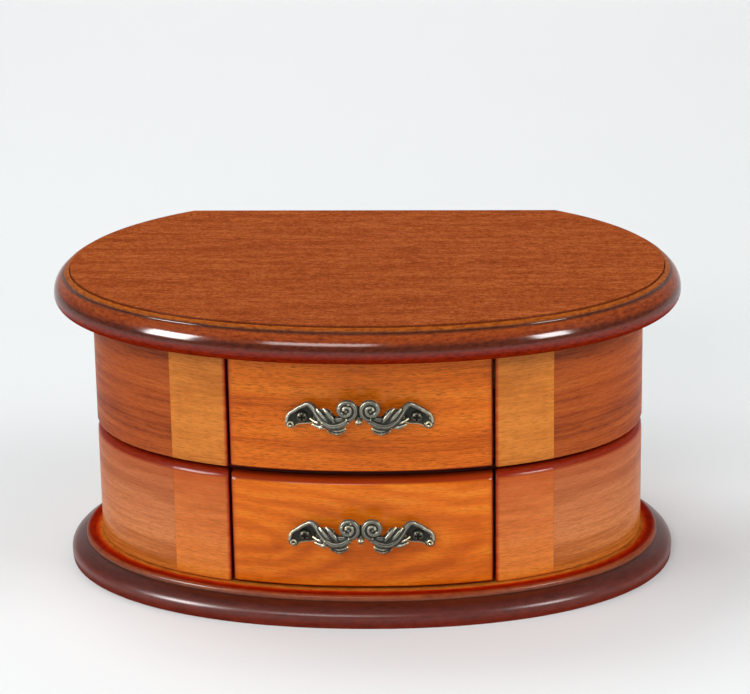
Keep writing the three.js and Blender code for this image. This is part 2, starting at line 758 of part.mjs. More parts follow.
function makeHandle(level) {
	const z = handle_places[level];
	const right = handleHalf();
	const drop = new THREE.SphereGeometry(1, rod_sides, dome_steps);
	drop.scale(drop_radius, drop_radius, drop_length / 2);
	const drop_place = at(0, scroll_rise - scroll_radius - scroll_tube_radius, handle_reach);
	drop.translate(drop_place.x, drop_place.y, drop_place.z);
	const bridge = bar(at(-scroll_offset, scroll_rise - scroll_radius, handle_reach),
		at(scroll_offset, scroll_rise - scroll_radius, handle_reach), scroll_tube_radius, rod_sides);
	const hole = handle_hole_spacing / 2;
	const slot_share = 0.7;
	const face_y = frontY(hole - ear_inset, 0);
	const casting = join(right, mirrored(right), drop, bridge);
	casting.translate(0, face_y, z);
	const face = slab([[fit_gap, z - body_top], [fit_gap, z + body_top]]);
	const holes = [-hole, hole].map((x) => bar(
		new THREE.Vector3(x, face_y - handle_reach * 2, z),
		new THREE.Vector3(x, face_y + handle_reach, z), screw_shank_radius + fit_gap));
	add(`${level}_handle`, cut(casting, face, ...holes), 'antique_brass');
	for (const [side, x] of [['left', -hole], ['right', hole]]) {
		const seat = face_y - ear_thickness - fit_gap;
		const head = new THREE.SphereGeometry(1, small_sides, dome_steps);
		head.scale(screw_head_radius, screw_head_height, screw_head_radius);
		head.translate(x, seat, z);
		const outside = board([x - overrun, x + overrun], [seat - overrun, seat], [z - overrun, z + overrun]);
		const dome = overlap(head, outside);
		const shank = bar(new THREE.Vector3(x, seat - screw_head_height / 2, z),
			new THREE.Vector3(x, seat + screw_length, z), screw_shank_radius, rod_sides);
		const [long, short] = [screw_head_radius * slot_share, screw_slot_width * slot_share / 2];
		const slots = [[long, short], [short, long]].map(([wide, tall]) => board([x - wide, x + wide],
			[seat - overrun, seat - screw_head_height + screw_slot_depth], [z - tall, z + tall]));
		add(`${level}_handle_${side}_screw`, cut(join(dome, shank), ...slots), 'antique_brass');
	}
}

// Lid: a moulded frame with a raised top panel and a mirror set in from below
function makeLid() {
	const panel_edge = lid_panel_set_in;
	const ledge_z = lid_top - lid_panel_step;
	const ledge_edge = panel_edge + lid_ledge_width;
	const bulge_z = lid_top - lid_bulge_drop;
	const nose_top = ledge_z - lid_ledge_fall - lid_quirk;
	const nose_angle = 1.2;
	const reach = (lid_bulge - ledge_edge) / (1 - Math.cos(nose_angle));
	const rise = (nose_top - bulge_z) / Math.sin(nose_angle);
	const upper = mouldingArc([lid_bulge - reach, bulge_z], [reach, rise], 0, nose_angle, lid_arc_steps);
	const lower = mouldingArc([lid_under_bulge, bulge_z],
		[lid_bulge - lid_under_bulge, bulge_z - lid_bottom], -quarter, 0, lid_arc_steps);
	const quirk_edge = upper.at(-1)[0] - lid_quirk / 2;
	const profile = [...lower, ...upper.slice(1), [quirk_edge, nose_top],
		[quirk_edge, ledge_z - lid_ledge_fall], [panel_edge + fit_gap, ledge_z]];
	const inner_back = back_y - lid_back_rail;
	const hollow = slab([[-lid_frame_inset, lid_bottom - overrun], [-lid_frame_inset, lid_top + overrun]],
		inner_back);
	const rabbet_z = lid_top - lid_panel_thickness;
	const rabbet_edge = panel_edge + fit_gap;
	const rabbet = slab([[rabbet_edge, rabbet_z], [rabbet_edge, lid_top + overrun]], back_y + overrun);
	add('lid_moulding', cut(slab(profile), hollow, rabbet), 'mahogany');
	const panel = slab([[panel_edge, rabbet_z], [panel_edge, lid_top]]);
	add('lid_top_panel', panel, 'orange_veneer');
	const mirror_edge = -lid_frame_inset - mirror_clearance;
	add('lid_mirror', slab([[mirror_edge, rabbet_z - mirror_thickness], [mirror_edge, rabbet_z]],
		inner_back - mirror_clearance), 'mirror');
}

// Hinges: two butt hinges on the back, three knuckles each, with a pin
function makeHinge(side, x) {
	const axis = (across) => new THREE.Vector3(x + across, hinge_axis_y, hinge_axis_z);
	const third = hinge_width / 3;
	const leaf_y = [back_y, back_y + hinge_leaf_thickness];
	const bore = bar(axis(-hinge_width), axis(hinge_width), hinge_pin_radius + fit_gap);
	const knuckle = (from, to) => bar(axis(from), axis(to), hinge_knuckle_radius, round_sides);
	const web = (from, to, low, high) => board([x + from, x + to], [back_y, hinge_axis_y], [low, high]);
	const half = hinge_width / 2;
	const spans = [[-half, -third / 2 - hinge_knuckle_gap], [third / 2 + hinge_knuckle_gap, half]];
	const below = hinge_axis_z - hinge_knuckle_radius - hinge_knuckle_gap;
	const above = hinge_axis_z + hinge_knuckle_radius + hinge_knuckle_gap;
	const body_leaf = join(
		board([x - half, x + half], leaf_y, [below - hinge_leaf_height, below]),
		...spans.map(([from, to]) => knuckle(from, to)),
		...spans.map(([from, to]) => web(from, to, below - hinge_leaf_thickness, hinge_axis_z)));
	const barrel_room = board([x - half - overrun, x + half + overrun], [back_y - overrun, back_y],
		[below, above]);
	add(`${side}_hinge_body_leaf`, cut(body_leaf, bore, barrel_room), 'brass');
	const lid_leaf = join(
		board([x - half, x + half], leaf_y, [above, above + hinge_leaf_height]),
		knuckle(-third / 2, third / 2),
		web(-third / 2, third / 2, hinge_axis_z, above + hinge_leaf_thickness));
	add(`${side}_hinge_lid_leaf`, cut(lid_leaf, bore, barrel_room), 'brass');
	add(`${side}_hinge_pin`, bar(axis(-half), axis(half), hinge_pin_radius), 'steel');
}

// Gears

// Teeth round an axis that runs along X from x0 to x1
function spurGear(x0, x1, centre, radius, teeth, turn) {
	const points = [];
	const flank_shares = [-0.3, -0.14, 0.14, 0.3];
	for (let tooth = 0; tooth < teeth; tooth++) {
		for (const [i, share] of flank_shares.entries()) {
			const reach = i === 0 || i === 3 ? radius - tooth_depth / 2 : radius + tooth_depth / 2;
			const angle = turn + 2 * Math.PI * (tooth + share) / teeth;
			points.push([centre.y + reach * Math.cos(angle), centre.z + reach * Math.sin(angle)]);
		}
	}
	return loft([x0, x1].map((x) => points.map(([y, z]) => new THREE.Vector3(x, y, z))));
}

const cylinder_start = movement_x + wheel_radius + mesh_clearance + fit_gap;
const cylinder_end = cylinder_start + cylinder_length;
const axle_line = (x, y = axle_y, z = movement_z) => new THREE.Vector3(x, y, z);
const pinion_middle = movement_x + wheel_radius - wheel_rim / 2;
const train_gear_start = cylinder_end;
const train_gear_end = train_gear_start + train_gear_width;
const governor_z = movement_z + train_gear_radius + governor_pinion_radius + mesh_clearance;
const worm_wheel_start = train_gear_end + post_thickness + bearing_gap * 2;
const worm_x = worm_wheel_start + train_gear_width / 2;
const worm_z = governor_z + worm_wheel_radius + tooth_depth / 2 + worm_radius + mesh_clearance;

function makeCylinder() {
	const left_post = pinion_middle - pinion_width / 2;
	const axle = bar(axle_line(left_post - bearing_gap), axle_line(train_gear_end + bearing_gap + post_thickness),
		axle_radius, rod_sides);
	const drum = bar(axle_line(cylinder_start), axle_line(cylinder_end), cylinder_radius, round_sides);
	const pinion = spurGear(left_post, left_post + pinion_width, { y: axle_y, z: movement_z }, pinion_radius,
		pinion_teeth, Math.PI / pinion_teeth);
	const collar = bar(axle_line(left_post + pinion_width / 2), axle_line(cylinder_start + overrun),
		pinion_radius / 2);
	const gear = spurGear(train_gear_start, train_gear_end, { y: axle_y, z: movement_z }, train_gear_radius,
		train_gear_teeth, 0);
	const pins = [];
	const pitch = cylinder_length / (note_count + 1);
	for (let note = 0; note < note_count; note++) {
		for (let k = 0; k < pins_per_note; k++) {
			// The tune: each note's pins lie round the drum at places that differ from row to row
			const place = (note * tune_row_step + k * tune_pin_step + k * note) % tune_places;
			const turn = 2 * Math.PI * place / tune_places;
			const x = cylinder_start + pitch * (note + 1);
			const rod = new THREE.CylinderGeometry(pin_radius, pin_radius, pin_height * 2, pin_sides);
			rod.translate(0, cylinder_radius, 0);
			rod.rotateX(turn);
			pins.push(rod.translate(x, axle_y, movement_z));
		}
	}
	add('music_cylinder', join(axle, drum, pinion, collar, gear, ...pins), 'brass');
}

// Great wheel: a crown wheel on the arbor, its teeth standing toward the front
function makeWheelAndArbor() {
	const pitch_y = axle_y + pinion_radius + mesh_clearance;
	const root_y = pitch_y + tooth_depth / 2 + fit_gap;
	const disc_y = root_y + wheel_rim;
	const on_axis = (y) => new THREE.Vector3(movement_x, y, movement_z);
	const rod = (from, to, radius) => bar(on_axis(from), on_axis(to), radius, round_sides);
	const teeth = [];
	for (let k = 0; k < wheel_teeth; k++) {
		const tooth = new THREE.BoxGeometry(wheel_rim, wheel_tooth_height, wheel_tooth_width);
		tooth.translate(wheel_radius - wheel_rim / 2, 0, 0);
		tooth.rotateY(2 * Math.PI * k / wheel_teeth);
		teeth.push(tooth.translate(movement_x, root_y, movement_z));
	}
	const bore = rod(plate_face_y + overrun, axle_y - overrun, arbor_radius + fit_gap);
	const wheel = join(rod(root_y, disc_y, wheel_radius), rod(disc_y - fit_gap, plate_face_y - fit_gap,
		key_hub_radius), ...teeth);
	add('great_wheel', cut(wheel, bore), 'brass');
	const housing_base = root_y - fit_gap;
	const housing = rod(housing_base - housing_height, housing_base, housing_radius);
	const rim = rod(housing_base - wheel_rim, housing_base, housing_radius + fit_gap);
	const housing_bore = rod(plate_face_y, housing_base - housing_height - overrun, arbor_radius + fit_gap);
	add('spring_housing', cut(join(housing, rim), housing_bore), 'steel');
	const arbor_front = housing_base - housing_height - axle_radius;
	add('winding_arbor', rod(arbor_front, back_y + arbor_reach, arbor_radius), 'steel');
	const hub_start = back_y + fit_gap * 2;
	const hub = rod(hub_start, hub_start + key_hub_length, key_hub_radius);
	const [lobe_share, web_share] = [0.4, 0.6];
	const lobe_y = hub_start + key_hub_length + key_lobe_radius * lobe_share;
	const lobes = [-1, 1].map((side) => disc(movement_x + side * (key_span / 2 - key_lobe_radius), lobe_y,
		key_lobe_radius));
	const eyes = [-1, 1].map((side) => disc(movement_x + side * (key_span / 2 - key_lobe_radius), lobe_y,
		key_lobe_hole, overrun));
	const web = board([movement_x - key_hub_radius, movement_x + key_hub_radius],
		[hub_start + key_hub_length / 2, lobe_y + key_lobe_radius * web_share],
		[movement_z - key_thickness / 2, movement_z + key_thickness / 2]);
	const socket = rod(back_y - overrun, back_y + arbor_reach + fit_gap, arbor_radius + fit_gap);
	add('winding_key', cut(join(hub, web, ...lobes), ...eyes, socket), 'antique_brass');
}

// A flat disc of the butterfly key, lying level
function disc(x, y, radius, extra = 0) {
	const half = key_thickness / 2 + extra;
	return bar(new THREE.Vector3(x, y, movement_z - half), new THREE.Vector3(x, y, movement_z + half), radius,
		round_sides);
}

// Bedplate with the bearing posts and the comb's block cast on, and the parts that stand on it
function makeMovement() {
	const plate_y = [plate_face_y, panel_face_y];
	const block_y = [axle_y + comb_thickness / 2, plate_face_y + overrun / 2];
	const comb_tip_z = movement_z - cylinder_radius - comb_tip_gap;
	const comb_end_z = comb_tip_z - comb_length;
	const left_post = pinion_middle + pinion_width / 2 + bearing_gap;
	const post_half = axle_radius + post_thickness;
	const post_front = axle_y - post_half;
	const post = (x0, x1, z0, z1) => board([x0, x1], [post_front, plate_face_y + overrun / 2], [z0, z1]);
	const right_post = train_gear_end + bearing_gap;
	const right_post_end = right_post + post_thickness;
	const bearing = (z, radius) => bar(axle_line(cylinder_end - overrun, axle_y, z),
		axle_line(worm_wheel_start + overrun, axle_y, z), radius + bearing_gap);
	const plate = board([movement_x - plate_left, movement_x + plate_right], plate_y,
		[movement_z - plate_below, movement_z + plate_above]);
	const comb_block = board([cylinder_start, cylinder_end], block_y, [comb_end_z, comb_end_z + comb_root]);
	const arbor_hole = bar(new THREE.Vector3(movement_x, plate_face_y - overrun, movement_z),
		new THREE.Vector3(movement_x, back_y, movement_z), arbor_radius + bearing_gap, round_sides);
	const right_bearings = post(right_post, right_post_end, movement_z - post_half, governor_z + post_half);
	const worm_bearing = bar(new THREE.Vector3(worm_x, plate_face_y - overrun, worm_z),
		new THREE.Vector3(worm_x, panel_face_y - fit_gap, worm_z), axle_radius / 2 + bearing_gap);
	const fly_clearance = board([right_post - overrun, right_post_end + overrun],
		[fly_start_y - fit_gap, plate_face_y], [worm_z - fly_radius - fit_gap, worm_z]);
	const bedplate = cut(join(plate, comb_block, right_bearings), arbor_hole, fly_clearance,
		bearing(movement_z, axle_radius), bearing(governor_z, axle_radius), worm_bearing);
	add('movement_bedplate', bedplate, 'brass');

	// Comb: one tooth for each note, cut by slots that run up to the root
	const comb_y = [axle_y - comb_thickness / 2, axle_y + comb_thickness / 2];
	const pitch = cylinder_length / (note_count + 1);
	const comb_half_margin = pitch / 2;
	const taper_share = 0.3;
	const comb_x = [cylinder_start + comb_half_margin, cylinder_end - comb_half_margin];
	const slots = [];
	for (let k = 1; k < note_count; k++) {
		const x = comb_x[0] + pitch * k;
		const slot_end = comb_end_z + comb_root + (comb_length - comb_root) * taper_share * k / note_count;
		slots.push(board([x - comb_slot / 2, x + comb_slot / 2], [comb_y[0] - overrun, comb_y[1] + overrun],
			[slot_end, comb_tip_z + overrun]));
	}
	const heads = [1, note_count - 1].map((k) => bar(
		new THREE.Vector3(comb_x[0] + pitch * k, comb_y[0] - comb_screw_radius / 2, comb_end_z + comb_root / 2),
		new THREE.Vector3(comb_x[0] + pitch * k, comb_y[1], comb_end_z + comb_root / 2), comb_screw_radius));
	const comb = join(cut(board(comb_x, comb_y, [comb_end_z, comb_tip_z]), ...slots), ...heads);
	add('music_comb', comb, 'steel');

	// Governor: a wheel on its own axle, a worm with the fly, and the frame that holds the worm's front end
	const hub = { y: axle_y, z: governor_z };
	const governor_pinion = spurGear(train_gear_start, train_gear_end, hub, governor_pinion_radius,
		governor_pinion_teeth, Math.PI / governor_pinion_teeth);
	const worm_wheel = spurGear(worm_wheel_start, worm_wheel_start + train_gear_width, hub, worm_wheel_radius,
		worm_wheel_teeth, 0);
	const governor_axle = bar(axle_line(train_gear_start - bearing_gap, axle_y, governor_z),
		axle_line(worm_wheel_start + train_gear_width + bearing_gap, axle_y, governor_z), axle_radius, rod_sides);
	add('governor_wheel', join(governor_pinion, worm_wheel, governor_axle), 'brass');
	const worm_front = axle_y - worm_wheel_radius - overrun;
	const along = (y, radius_y, radius, sides = rod_sides) => bar(
		new THREE.Vector3(worm_x, y, worm_z), new THREE.Vector3(worm_x, radius_y, worm_z), radius, sides);
	const vane = board([worm_x - fly_radius, worm_x + fly_radius], [fly_start_y, fly_start_y + fly_width],
		[worm_z - fly_thickness / 2, worm_z + fly_thickness / 2]);
	const worm_from = axle_y - worm_wheel_radius;
	const worm = along(worm_from, axle_y + worm_wheel_radius, worm_radius, small_sides);
	const fly = join(along(worm_front - post_thickness / 2, plate_face_y + plate_thickness / 2, axle_radius / 2),
		worm, vane);
	add('governor_fly', fly, 'brass');
	const frame_x = [worm_x + fly_radius + bearing_gap, worm_x + fly_radius + bearing_gap + post_thickness];
	const arm_z = [worm_z - post_half, worm_z + post_half];
	const frame = join(
		board(frame_x, [worm_front - post_thickness, plate_face_y], arm_z),
		board([worm_x - post_half, frame_x[1]], [worm_front - post_thickness, worm_front], arm_z));
	const frame_bearing = along(worm_front - post_thickness - overrun, worm_front + post_thickness / 2,
		axle_radius / 2 + bearing_gap);
	add('governor_frame', cut(frame, frame_bearing), 'steel');
	makeStopPinAndCover(worm_x);
}

// Stop pin: held down by the closed lid, just above the fly; it slides in the clear cover
function makeStopPinAndCover(x) {
	const cover_top = inner_top + cover_thickness;
	const pin_low = worm_z + fly_radius + fit_gap;
	const line = (low, high, radius, sides = small_sides) => bar(
		new THREE.Vector3(x, stop_pin_y, low), new THREE.Vector3(x, stop_pin_y, high), radius, sides);
	const pin = join(line(pin_low, body_top, stop_pin_radius),
		line(body_top - stop_pin_cap_height, body_top, stop_pin_cap_radius));
	add('stop_pin', pin, 'brass');
	const half = opening_half_width + wall_thickness;
	const sheet = board([-half, half], [partition_y, back_y], [inner_top, cover_top]);
	const cover_edge = -block_thickness - fit_gap;
	const inside = slab([[cover_edge, inner_top - overrun], [cover_edge, cover_top + overrun]],
		panel_face_y - fit_gap);
	const hole = line(inner_top - overrun, cover_top + overrun, stop_pin_radius + fit_gap);
	add('movement_cover', cut(overlap(sheet, inside), hole), 'clear');
}

// Linings of the wells and the tray, and two ring rolls in the tray
function makeLinings() {
	const inner_edge = -block_thickness - lining_edge_gap;
	const top = groove_top + lining_thickness;
	const outline = slab([[inner_edge, groove_top], [inner_edge, top]], panel_face_y - fit_gap * 2);
	const start = opening_half_width + wall_thickness + fit_gap;
	const spans = { left: [-body_half_width, -start], right: [start, body_half_width] };
	for (const [name, span] of Object.entries(spans)) {
		const room = board(span, [-body_front_depth, back_y], [groove_top - overrun, top + overrun]);
		add(`${name}_well_lining`, overlap(outline, room), 'velvet');
	}
	const front = drawer_back_face_y + running_gap + partition_thickness + fit_gap;
	const half = opening_half_width - fit_gap;
	const lining_top = tray_floor_top + lining_thickness;
	add('tray_lining', board([-half, half], [front, partition_y - fit_gap], [tray_floor_top, lining_top]), 'velvet');
	for (const [k, name] of ['front', 'rear'].entries()) {
		const y = front + ring_roll_radius + ring_roll_pitch * k;
		const z = lining_top + ring_roll_radius - ring_roll_flat;
		const length = half - ring_roll_end_gap - ring_roll_radius;
		const bulge_share = 0.6;
		const profile = [];
		for (let i = 0; i <= 2 * round_steps; i++) {
			const turn = quarter * (1 - i / round_steps);
			const end = i <= round_steps ? -length : length;
			profile.push([end + Math.sign(end) * ring_roll_radius * bulge_share * Math.sin(Math.abs(turn)),
				ring_roll_radius * Math.cos(turn)]);
		}
		profile.splice(round_steps + 1, 0, [length, ring_roll_radius]);
		const roll = new THREE.LatheGeometry(profile.map(([along, radius]) => new THREE.Vector2(radius, along)),
			round_sides);
		roll.rotateZ(-quarter);
		roll.translate(0, y, z);
		const above = board([-opening_half_width, opening_half_width],
			[y - ring_roll_radius * 2, y + ring_roll_radius * 2], [lining_top + fit_gap, body_top]);
		add(`ring_roll_${name}`, overlap(roll, above), 'velvet');
	}
}

makeBase();
makeBlocks();
makeCarcass();
makeDrawer('upper', groove_top + drawer_edge_gap, body_top - drawer_edge_gap, drawer_edge_round,
	upper_box_height, upper_drawer_rear_y);
makeDrawer('lower', base_height + drawer_edge_gap, groove_bottom - drawer_edge_gap, lower_drawer_top_round,
	lower_box_height, lower_drawer_rear_y);
makeHandle('upper');
makeHandle('lower');
makeLid();
makeHinge('left', -hinge_x);
makeHinge('right', hinge_x);
makeCylinder();
makeWheelAndArbor();
makeMovement();
makeLinings();

export default box;
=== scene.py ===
# %% [markdown]
# # A musical jewelry box in Blender
# The box is an oval with a flat back: a moulded lid on hinges, two curved drawers with cast scroll
# pulls between blocks of two staves each, a moulded base, and a wind-up movement behind the upper
# drawer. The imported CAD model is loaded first. It gives every piece its place, and the cells below
# make the pieces that the eye sees and the finishes that they carry.

# %% Load the frame
import json
import math

import bpy
from mathutils import Matrix, Vector
from mathutils import noise as still_noise

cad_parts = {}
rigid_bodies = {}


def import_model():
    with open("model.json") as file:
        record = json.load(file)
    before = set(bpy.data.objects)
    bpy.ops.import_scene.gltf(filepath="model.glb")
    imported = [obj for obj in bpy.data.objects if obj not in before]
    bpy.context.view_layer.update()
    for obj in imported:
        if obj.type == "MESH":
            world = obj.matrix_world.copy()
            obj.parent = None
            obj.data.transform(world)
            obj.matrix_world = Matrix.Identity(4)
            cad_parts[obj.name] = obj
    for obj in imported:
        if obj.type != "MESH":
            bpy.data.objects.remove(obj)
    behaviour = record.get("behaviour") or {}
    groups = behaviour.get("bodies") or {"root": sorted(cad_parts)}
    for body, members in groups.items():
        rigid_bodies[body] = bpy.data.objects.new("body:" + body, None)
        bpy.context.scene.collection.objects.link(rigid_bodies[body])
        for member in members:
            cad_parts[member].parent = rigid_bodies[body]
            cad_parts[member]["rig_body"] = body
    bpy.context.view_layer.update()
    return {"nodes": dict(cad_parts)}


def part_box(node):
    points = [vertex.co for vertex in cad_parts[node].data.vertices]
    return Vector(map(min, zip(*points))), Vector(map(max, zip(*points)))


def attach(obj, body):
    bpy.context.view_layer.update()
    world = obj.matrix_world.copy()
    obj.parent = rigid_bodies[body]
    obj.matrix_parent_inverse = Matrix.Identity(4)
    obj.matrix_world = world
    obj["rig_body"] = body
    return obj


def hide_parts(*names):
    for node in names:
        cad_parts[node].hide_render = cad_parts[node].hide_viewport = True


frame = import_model()
nodes = frame["nodes"]
mm = 0.001
quarter = math.pi / 2

# %% [markdown]
# ## The camera
# The photograph was taken with a long lens, a little to the left of the middle and 20 degrees
# above level. The lens, distance, aim and roll were fitted to the outline of the lid and the base.
# The camera looks along its own -Z axis, so a rotation matrix is built from the three directions
# right, up and backwards.

# %% Camera
sensor_width = 36.0
lens_in_pixels = 3190.0
photo_width = 750
camera_distance = 1487 * mm
camera_target = Vector((3.3, 0, 104)) * mm
camera_yaw = -0.052
camera_pitch = 0.349
camera_roll = -0.017

forward = Vector((math.sin(camera_yaw) * math.cos(camera_pitch),
                  math.cos(camera_yaw) * math.cos(camera_pitch),
                  -math.sin(camera_pitch)))
level_right = Vector((math.cos(camera_yaw), -math.sin(camera_yaw), 0))
level_up = level_right.cross(forward)
right = level_right * math.cos(camera_roll) + level_up * math.sin(camera_roll)
up = level_up * math.cos(camera_roll) - level_right * math.sin(camera_roll)

lens = bpy.data.cameras.new("photo_camera")
lens.sensor_width = sensor_width
lens.lens = lens_in_pixels / photo_width * sensor_width
lens.clip_end = 20
camera = bpy.data.objects.new("photo_camera", lens)
bpy.context.collection.objects.link(camera)
place = camera_target - forward * camera_distance
camera.matrix_world = Matrix.Translation(place) @ Matrix((right, up, -forward)).transposed().to_4x4()
bpy.context.scene.camera = camera
print("camera at", [round(value, 3) for value in place], "lens", round(lens.lens, 1), "mm")

# %% [markdown]
# ## Small helpers
# Operators act on everything that is selected, and loading the frame leaves the CAD nodes
# selected. So each new piece starts with an empty selection. A colour is written as the hex value
# that a painter would pick on a screen, and one function turns it to the linear values that the
# shader wants.

# %% Selection and colour
def clear_selection():
    if bpy.context.object and bpy.context.object.mode != "OBJECT":
        bpy.ops.object.mode_set(mode="OBJECT")
    bpy.ops.object.select_all(action="DESELECT")


def pick(piece):
    clear_selection()
    piece.select_set(True)
    bpy.context.view_layer.objects.active = piece


def linear(hex_colour):
    channels = [int(hex_colour[i:i + 2], 16) / 255 for i in (1, 3, 5)]
    return [c / 12.92 if c <= 0.04045 else ((c + 0.055) / 1.055) ** 2.4 for c in channels] + [1]


print("mid grey in linear light:", round(linear("#808080")[0], 3))

# %% [markdown]
# ## Building a material from nodes
# A finish is a small tree of shader nodes. Adding each node and link by hand is long, so one
# function adds a node with its settings, and another feeds its inputs, with plain values or with
# the sockets of other nodes. A finish starts with coordinates in millimetres that stay with the
# object, so a pattern keeps its size and rides along when the piece moves.

# %% Nodes and finishes
def feed(tree, node, inputs):
    """Sets a node's inputs, named or counted, to values or to the sockets that feed them."""
    for name, value in inputs.items():
        if isinstance(value, bpy.types.NodeSocket):
            tree.links.new(value, node.inputs[name])
        else:
            node.inputs[name].default_value = value


def shader_node(tree, kind, inputs=None, **settings):
    node = tree.nodes.new(kind)
    for name, value in settings.items():
        setattr(node, name, value)
    feed(tree, node, inputs or {})
    return node


def ramp(tree, factor, stops):
    """A colour ramp from (place, hex colour) stops."""
    node = shader_node(tree, "ShaderNodeValToRGB", {"Fac": factor})
    while len(node.color_ramp.elements) < len(stops):
        node.color_ramp.elements.new(0.5)
    for element, (spot, hex_colour) in zip(node.color_ramp.elements, stops):
        element.position = spot
        element.color = linear(hex_colour)
    return node.outputs["Color"]


def new_finish(name):
    """A material with its surface shader, and coordinates in millimetres on the object."""
    finish = bpy.data.materials.new(name)
    finish.use_nodes = True
    tree = finish.node_tree
    surface = tree.nodes["Principled BSDF"]
    coordinates = shader_node(tree, "ShaderNodeTexCoord")
    in_mm = shader_node(tree, "ShaderNodeMapping", {"Vector": coordinates.outputs["Object"],
                                                    "Scale": (1 / mm, 1 / mm, 1 / mm)})
    return finish, tree, surface, in_mm.outputs["Vector"]


print("one unit of a pattern is", mm, "m")

# %% [markdown]
# The patterns are noise, squeezed where they run along the grain. Arithmetic and blends of colour
# put them together, and a height pattern becomes bump. Bump only changes the shading, so it is kept
# for what is too fine for a mesh, such as pores, pile and tool marks.

# %% Patterns and bump
def stretched(tree, vector, scale, turn=(0, 0, 0)):
    """The pattern's space, squeezed along the grain so that a round pattern turns into streaks."""
    squeezed = shader_node(tree, "ShaderNodeMapping", {"Vector": vector, "Scale": scale, "Rotation": turn})
    return squeezed.outputs["Vector"]


def noise(tree, vector, size_mm, detail=3, roughness=0.5, distortion=0.0):
    return shader_node(tree, "ShaderNodeTexNoise", {
        "Vector": vector, "Scale": 1 / size_mm, "Detail": detail, "Roughness": roughness,
        "Distortion": distortion}).outputs["Fac"]


def maths(tree, operation, *values, clamp=False):
    node = shader_node(tree, "ShaderNodeMath", dict(enumerate(values)), operation=operation, use_clamp=clamp)
    return node.outputs[0]


def axis_of(tree, vector, axis):
    return shader_node(tree, "ShaderNodeSeparateXYZ", {"Vector": vector}).outputs[axis]


def blend_colours(tree, factor, low, high, mode="MIX"):
    """A mix node has inputs for every kind of value. The three for colours are the enabled ones."""
    node = shader_node(tree, "ShaderNodeMix", data_type="RGBA", blend_type=mode)
    in_use = [i for i, socket in enumerate(node.inputs) if socket.enabled]
    feed(tree, node, dict(zip(in_use, (factor, low, high))))
    return next(socket for socket in node.outputs if socket.enabled)


def roughen(tree, surface, height, depth_mm, strength=1.0):
    """Turns a height pattern into bump of a real depth."""
    bump = shader_node(tree, "ShaderNodeBump",
                       {"Height": height, "Distance": depth_mm * mm, "Strength": strength})
    feed(tree, surface, {"Normal": bump.outputs["Normal"]})


print("pattern helpers ready")

# %% [markdown]
# ## Lacquered wood
# The box is stained hardwood under a clear lacquer. Wood is a bundle of long tubes: cut lengthwise
# it shows fine dark pores a few millimetres long, and slow bands of lighter and darker growth.
# Both are noise, squeezed hard along the grain. Over the stain the maker sprays toner, a clear colour.
# Ramps of the same kind also paint shade into the hollows and onto edges, and paint highlights onto
# arrises. It could be painted as an image, but a ramp over the distance across the moulding follows
# every curve and needs no picture.

# %% Toner and painted shade over the stain
drift_mm = 4.0
drift_squeeze = 0.05
drift_reach = 1.4


def share_between(tree, value, low, high):
    """How far a value has come from low to high, kept between 0 and 1."""
    span = high - low
    return maths(tree, "MULTIPLY_ADD", value, 1 / span, -low / span, clamp=True)


def toner_and_shade_ramp(tree, vector, axis, stops):
    """A ramp along one axis in millimetres with a wavering border: toning, painted shade and highlights, and
    gloss.
    """
    low, high = stops[0][0], stops[-1][0]
    drift = noise(tree, stretched(tree, vector, (drift_squeeze, 1, 1)), drift_mm, detail=2)
    wavering = maths(tree, "ADD", axis_of(tree, vector, axis),
                     maths(tree, "MULTIPLY_ADD", drift, drift_reach, -drift_reach / 2))
    return ramp(tree, share_between(tree, wavering, low, high),
                [((spot - low) / (high - low), colour) for spot, colour in stops])


print("toner wavers by", drift_reach, "mm")

# %% [markdown]
# The wood itself mixes slow bands with fine streaks, and adds figure or mottling where the board
# has it. The pores are a noise of their own, because they darken the stain wherever they are and
# also leave tiny dents in the lacquer.

# %% Grain and pores
grain_squeeze = 0.045
streak_mm = 1.1
band_share = 0.55
figure_share = 0.15
speck_squeeze = 0.4
pore_squeeze = 2.2
pore_mm = 0.34


def mixed(tree, one, other, share):
    """The other pattern by its share, and the first for the rest."""
    return maths(tree, "MULTIPLY_ADD", other, share, maths(tree, "MULTIPLY", one, 1 - share))


def grain_tone(tree, place, along, band_mm, figure, mottled, speck_mm):
    """Bands and streaks, from dark to light, with figure and mottling where the board has them."""
    bands = noise(tree, along, band_mm, detail=2, roughness=0.55, distortion=0.3)
    streaks = noise(tree, along, streak_mm, detail=5, roughness=0.68)
    tone = mixed(tree, streaks, bands, band_share)
    if figure:
        tone = mixed(tree, tone, figure(tree, place), figure_share)
    if mottled:
        speck_space = stretched(tree, place, (speck_squeeze, 1, 1))
        cloud = noise(tree, speck_space, speck_mm, detail=4, roughness=0.75)
        tone = mixed(tree, tone, cloud, mottled)
    return tone


def open_pores(tree, along):
    """Short fine lines, white where a pore is open."""
    pore_space = stretched(tree, along, (pore_squeeze, 1, 1))
    pore_noise = noise(tree, pore_space, pore_mm, detail=2, roughness=0.6)
    return ramp(tree, pore_noise, [(0.48, "#000000"), (0.7, "#ffffff")])


print("stained wood is", grain_squeeze, "times as busy along the grain as across it")

# %% [markdown]
# The lacquer is a second, smooth layer, so the coat of the shader makes the sharp highlights, and
# the sealed wood below it has no shine of its own. On a bent piece the grain follows the bend. Such
# a piece carries a map named grain, which holds the distance along the fibres and across them in
# millimetres, and its wood reads that map.

# %% Lacquered wood
lacquer_index = 1.5
sealed_roughness = 0.55
pore_darkness = 0.55
pore_depth = 0.02


